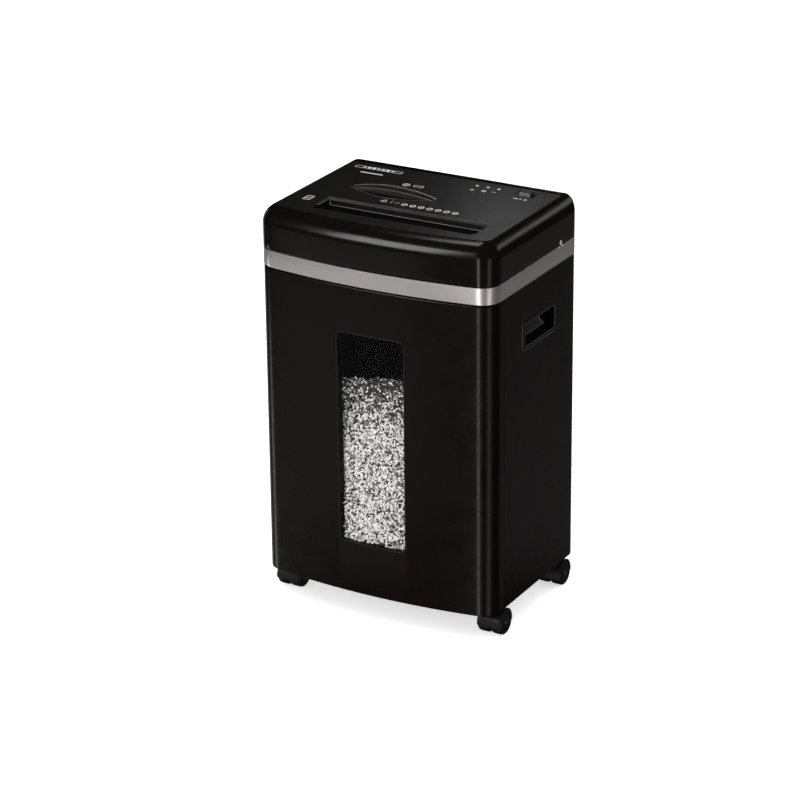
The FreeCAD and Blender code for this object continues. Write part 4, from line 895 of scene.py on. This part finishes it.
def make_caster(tag):
    low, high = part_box(f"caster_wheels_{tag}")
    middle = (low + high) / 2
    radius = (high.z - low.z) / 2
    half, web = (high.x - low.x) / 2, 3.5 * MM
    width = half - web
    rim = [(2.5 * MM, 0), (radius - 1.2 * MM, 0), (radius - 0.3 * MM, 0.3 * MM), (radius, 1.2 * MM),
           (radius, width - 3 * MM), (radius - 0.5 * MM, width - 1.4 * MM),
           (radius - 1.6 * MM, width - 0.3 * MM), (radius - 2.6 * MM, width),
           (radius - 3.6 * MM, width - 0.2 * MM), (radius - 4.4 * MM, width - 1.5 * MM),
           (radius - 5.6 * MM, width - 1.6 * MM), (radius - 6.2 * MM, width - 0.7 * MM),
           (radius - 7.2 * MM, width - 0.2 * MM), (2.5 * MM, width - 0.1 * MM)]
    for side, way in (("left", -1), ("right", 1)):
        profile = [(r, way * (web + z)) for r, z in rim]
        mesh = lathe_mesh(f"wheel_{side}_{tag}", profile, middle)
        finish_mesh(f"caster_wheel_{side}_{tag}", mesh, f"wheels_{tag}", CASTER,
                    [f"caster_wheels_{tag}"] if side == "left" else ())
    axle = [(0.01 * MM, -half + 0.3 * MM), (2.0 * MM, -half + 0.3 * MM), (2.5 * MM, -half + 0.8 * MM),
            (2.5 * MM, half - 0.8 * MM), (2.0 * MM, half - 0.3 * MM), (0.01 * MM, half - 0.3 * MM)]
    mesh = lathe_mesh(f"axle_{tag}", axle, middle, 32)
    finish_mesh(f"caster_axle_{tag}", mesh, f"wheels_{tag}", STEEL)
    rounded_node(f"caster_hood_{tag}", 0.5 * MM, CASTER, 2, 40)


# ------------------------------------------------------------------ printed marks on the panel

def flat_mark(name, outlines, level=None):
    """Thin printed shapes on the panel: each outline is a list of (x, y) points, joined as one piece."""
    level = TOP_Z if level is None else level
    verts, faces = [], []
    for outline in outlines:
        base, count = len(verts), len(outline)
        verts += [(x, y, level - 0.05 * MM) for x, y in outline]
        verts += [(x, y, level + 0.08 * MM) for x, y in outline]
        faces.append(tuple(base + k for k in reversed(range(count))))
        faces.append(tuple(base + count + k for k in range(count)))
        faces += [(base + k, base + (k + 1) % count, base + count + (k + 1) % count, base + count + k)
                  for k in range(count)]
    mesh = bpy.data.meshes.new(name)
    mesh.from_pydata(verts, [], faces)
    mesh.materials.append(PRINT)
    piece = bpy.data.objects.new(name, mesh)
    scene.collection.objects.link(piece)
    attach(piece, "root")


def ring_mark(x, y, radius, line):
    """A ring as short quads."""
    quads, steps = [], 20
    for k in range(steps):
        a, b = math.tau * k / steps, math.tau * (k + 1) / steps
        quads.append([(x + r * math.cos(t), y + r * math.sin(t))
                      for r, t in ((radius - line, a), (radius, a), (radius, b), (radius - line, b))])
    return quads


def stroke(x0, y0, x1, y1, line):
    start, end = Vector((x0, y0)), Vector((x1, y1))
    side = (end - start).normalized().orthogonal() * (line / 2)
    return [tuple(start - side), tuple(end - side), tuple(end + side), tuple(start + side)]


def box_mark(left, front, right, rear, line=0.8 * MM):
    """Four strokes round a rectangle."""
    return [stroke(left, front, right, front, line), stroke(left, rear, right, rear, line),
            stroke(left, front, left, rear, line), stroke(right, front, right, rear, line)]


def make_use_marks():
    """A triangle, two strokes and a row of struck-out rings between the recess and the card slot."""
    front, left, right = -23 * MM, -43 * MM, -34 * MM
    peak = ((left + right) / 2, front + 8 * MM)
    bold, thin = 0.8 * MM, 0.6 * MM
    row = [stroke(left, front, right, front, bold), stroke(left, front, *peak, bold),
           stroke(*peak, right, front, bold), stroke(-27 * MM, front, -27 * MM, -16 * MM, thin),
           stroke(-21 * MM, -22 * MM, -15 * MM, -17 * MM, thin)]
    first, pitch, middle = -5.6 * MM, 13.3 * MM, -21.5 * MM
    for k in range(7):
        x = first + pitch * k
        row += ring_mark(x, middle, 4.6 * MM, 0.9 * MM)
        row.append(stroke(x - 3 * MM, middle - 2.5 * MM, x + 3 * MM, middle + 2.5 * MM, 1.0 * MM))
    flat_mark("panel_rings", row)


def make_control_marks():
    """Marks in front of the lamps and the switch."""
    lamps = ring_mark(46 * MM, 80 * MM, 2.4 * MM, 0.8 * MM)
    lamps += ring_mark(63.5 * MM, 82 * MM, 3.2 * MM, 1.2 * MM)
    lamps.append(stroke(75 * MM, 84 * MM, 81 * MM, 84 * MM, 0.8 * MM))
    flat_mark("lamp_marks", lamps)
    level = 74 * MM
    positions = [stroke(114 * MM, level, 121 * MM, level, 1.6 * MM),
                 stroke(125 * MM, level - 2 * MM, 125 * MM, level + 2 * MM, 1.2 * MM)]
    flat_mark("switch_marks", positions + ring_mark(132.5 * MM, level, 2.4 * MM, 0.9 * MM))


def make_slot_marks():
    """A disc and a card behind the card slot, and a sheet beside the paper recess."""
    disc_x, disc_y = -46 * MM, 56 * MM
    disc = ring_mark(disc_x, disc_y, 5.5 * MM, 1.1 * MM) + ring_mark(disc_x, disc_y, 2 * MM, 0.9 * MM)
    flat_mark("disc_marks", disc + box_mark(-34 * MM, 54 * MM, -20 * MM, 60 * MM))
    line = 1.1 * MM
    flat_mark("sheet_marks", box_mark(-144 * MM, -64 * MM, -134 * MM, -48 * MM, line)
              + [stroke(-142 * MM, -60 * MM, -136 * MM, -52 * MM, line)])


def make_badge_marks():
    """A framed row of plain blocks on the badge plate, and a bar below it."""
    flat_mark("model_line", [stroke(-133 * MM, 78 * MM, -97 * MM, 78 * MM, 2.6 * MM)])
    first, pitch, middle, width = -137 * MM, 7.6 * MM, 97.3 * MM, 4.6 * MM
    blocks = []
    for k in range(7):
        x, half = first + pitch * k, (1.4 + 0.8 * (k % 3)) * MM
        blocks.append(stroke(x, middle - half, x, middle + half, width))
    border = box_mark(-151.5 * MM, 93.4 * MM, -76.5 * MM, 101.1 * MM, 0.7 * MM)
    flat_mark("badge_blocks", blocks + border, TOP_Z + 0.6 * MM)


def make_side_mark(name, y, z, radius):
    """A ring, or a dot where the radius is small, on the head's right side."""
    hollow = max(radius - 0.9 * MM, 0.02 * MM)
    back, face = -0.1 * MM, 0.08 * MM
    ring = [(hollow, back), (radius, back), (radius, face), (hollow, face)]
    mesh = lathe_mesh(name, ring, Vector((HALF_WIDTH, y, z)), 24)
    finish_mesh(name, mesh, "root", PRINT)


def make_marks():
    make_use_marks()
    make_control_marks()
    make_slot_marks()
    make_badge_marks()
    make_side_mark("side_ring", 81 * MM, 536 * MM, 3 * MM)
    make_side_mark("side_dot", 76 * MM, 530 * MM, 1.1 * MM)
    make_side_mark("side_spot", 86 * MM, 530.5 * MM, 1.1 * MM)


# ------------------------------------------------------------------ stage

def softbox(name, azimuth, low, high, wide, glow, distance=2.4, height=0.3, sheen_only=True):
    """An area light that stands between two elevations, in degrees, as seen from the object's middle.

    Azimuth 0 is straight ahead of the bin. A sheen_only light shows in reflections alone, any other
    in diffuse light alone.
    """
    turn, rise = math.radians(azimuth), math.radians((low + high) / 2)
    aim = Vector((0, 0, height))
    away = Vector((math.sin(turn) * math.cos(rise), -math.cos(turn) * math.cos(rise), math.sin(rise)))
    light = bpy.data.lights.new(name, "AREA")
    light.shape = "RECTANGLE"
    light.size = 2 * distance * math.tan(math.radians(wide / 2))
    light.size_y = 2 * distance * math.tan(math.radians((high - low) / 2))
    light.energy = glow * math.pi * light.size * light.size_y
    lamp = bpy.data.objects.new(name, light)
    lamp.location = aim + away * distance
    lamp.rotation_mode = "QUATERNION"
    lamp.rotation_quaternion = (-away).to_track_quat("-Z", "Y")
    lamp.visible_camera = False
    lamp.visible_diffuse = not sheen_only
    lamp.visible_glossy = sheen_only
    scene.collection.objects.link(lamp)


def make_stage():
    reach = 30.0
    corners = [(-reach, -reach, 0), (reach, -reach, 0), (reach, reach, 0), (-reach, reach, 0)]
    mesh = mesh_of("studio_floor", corners, [(0, 1, 2, 3)])
    surface = Surface("studio_paper", (0.93, 0.93, 0.93), 0.9, specular=0.0)
    surface.vary_roughness(surface.noise(2), 0.85, 0.95)
    surface.shader.inputs["Emission Color"].default_value = (1, 1, 1, 1)
    surface.shader.inputs["Emission Strength"].default_value = 0.55
    mesh.materials.append(surface.material)
    floor = bpy.data.objects.new("studio_floor", mesh)
    scene.collection.objects.link(floor)
    floor.visible_glossy = False
    floor.visible_diffuse = False
    floor.visible_shadow = False

    world = bpy.data.worlds.new("studio")
    world.use_nodes = True
    world.node_tree.nodes["Background"].inputs["Color"].default_value = (1, 1, 1, 1)
    world.node_tree.nodes["Background"].inputs["Strength"].default_value = 1.1
    scene.world = world
    world.cycles_visibility.glossy = False

    head, panel = 0.56, 0.59
    softbox("fill_top", 10, 50, 80, 40, 1.2, sheen_only=False)
    softbox("fill_front", -10, 0, 30, 50, 1.6, sheen_only=False)
    softbox("front_left", -24, 9, 37, 23, 15, height=head)
    softbox("high_left", -106, 71, 82, 22, 9, height=head)
    softbox("front_glow", -33, -34, -10, 34, 0.61)
    softbox("front_right_strip", 11, -50, 14, 6, 12.5)
    softbox("right_strip", 66, -50, 10, 15, 2)
    softbox("left_strip", -73, -50, -16, 10, 4.2)
    softbox("side_glow", 151, -36, -8, 30, 0.13)
    softbox("rear_right", 150, 14, 24, 34, 2.0, height=head)
    softbox("panel_sheen", -174, 28, 48, 26, 0.6, distance=0.8, height=panel)
    softbox("panel_front", -177, 26, 41, 24, 1.2, distance=0.36, height=panel)
    softbox("left_rear_strip", -112, -50, 20, 8, 1)
    softbox("rear_strip", -160, -50, 10, 8, 3)
    softbox("rear_right_strip", -177, -50, 10, 6, 1.5)


def make_camera():
    camera = bpy.data.cameras.new("camera")
    camera.lens = 142.5
    camera.sensor_width = 36
    holder = bpy.data.objects.new("camera", camera)
    place, aim = Vector((2.0406, -3.6357, 1.9934)), Vector((-0.0202, -0.0138, 0.2951))
    roll = Matrix.Rotation(math.radians(-0.59), 3, "Z")
    turn = (aim - place).to_track_quat("-Z", "Y").to_matrix() @ roll
    holder.matrix_world = Matrix.Translation(place) @ turn.to_4x4()
    camera.clip_start, camera.clip_end = 0.05, 100
    scene.collection.objects.link(holder)
    scene.camera = holder


# ------------------------------------------------------------------ build

make_camera()
dress_cad_nodes()
make_head_cover()
make_band()
make_head_details()
make_edges()
make_cabinet()
make_bin_front()
make_window()
make_shreds()
for corner in ("front_left", "front_right", "rear_left", "rear_right"):
    make_caster(corner)
make_marks()
make_stage()
scene.view_settings.view_transform = "Standard"
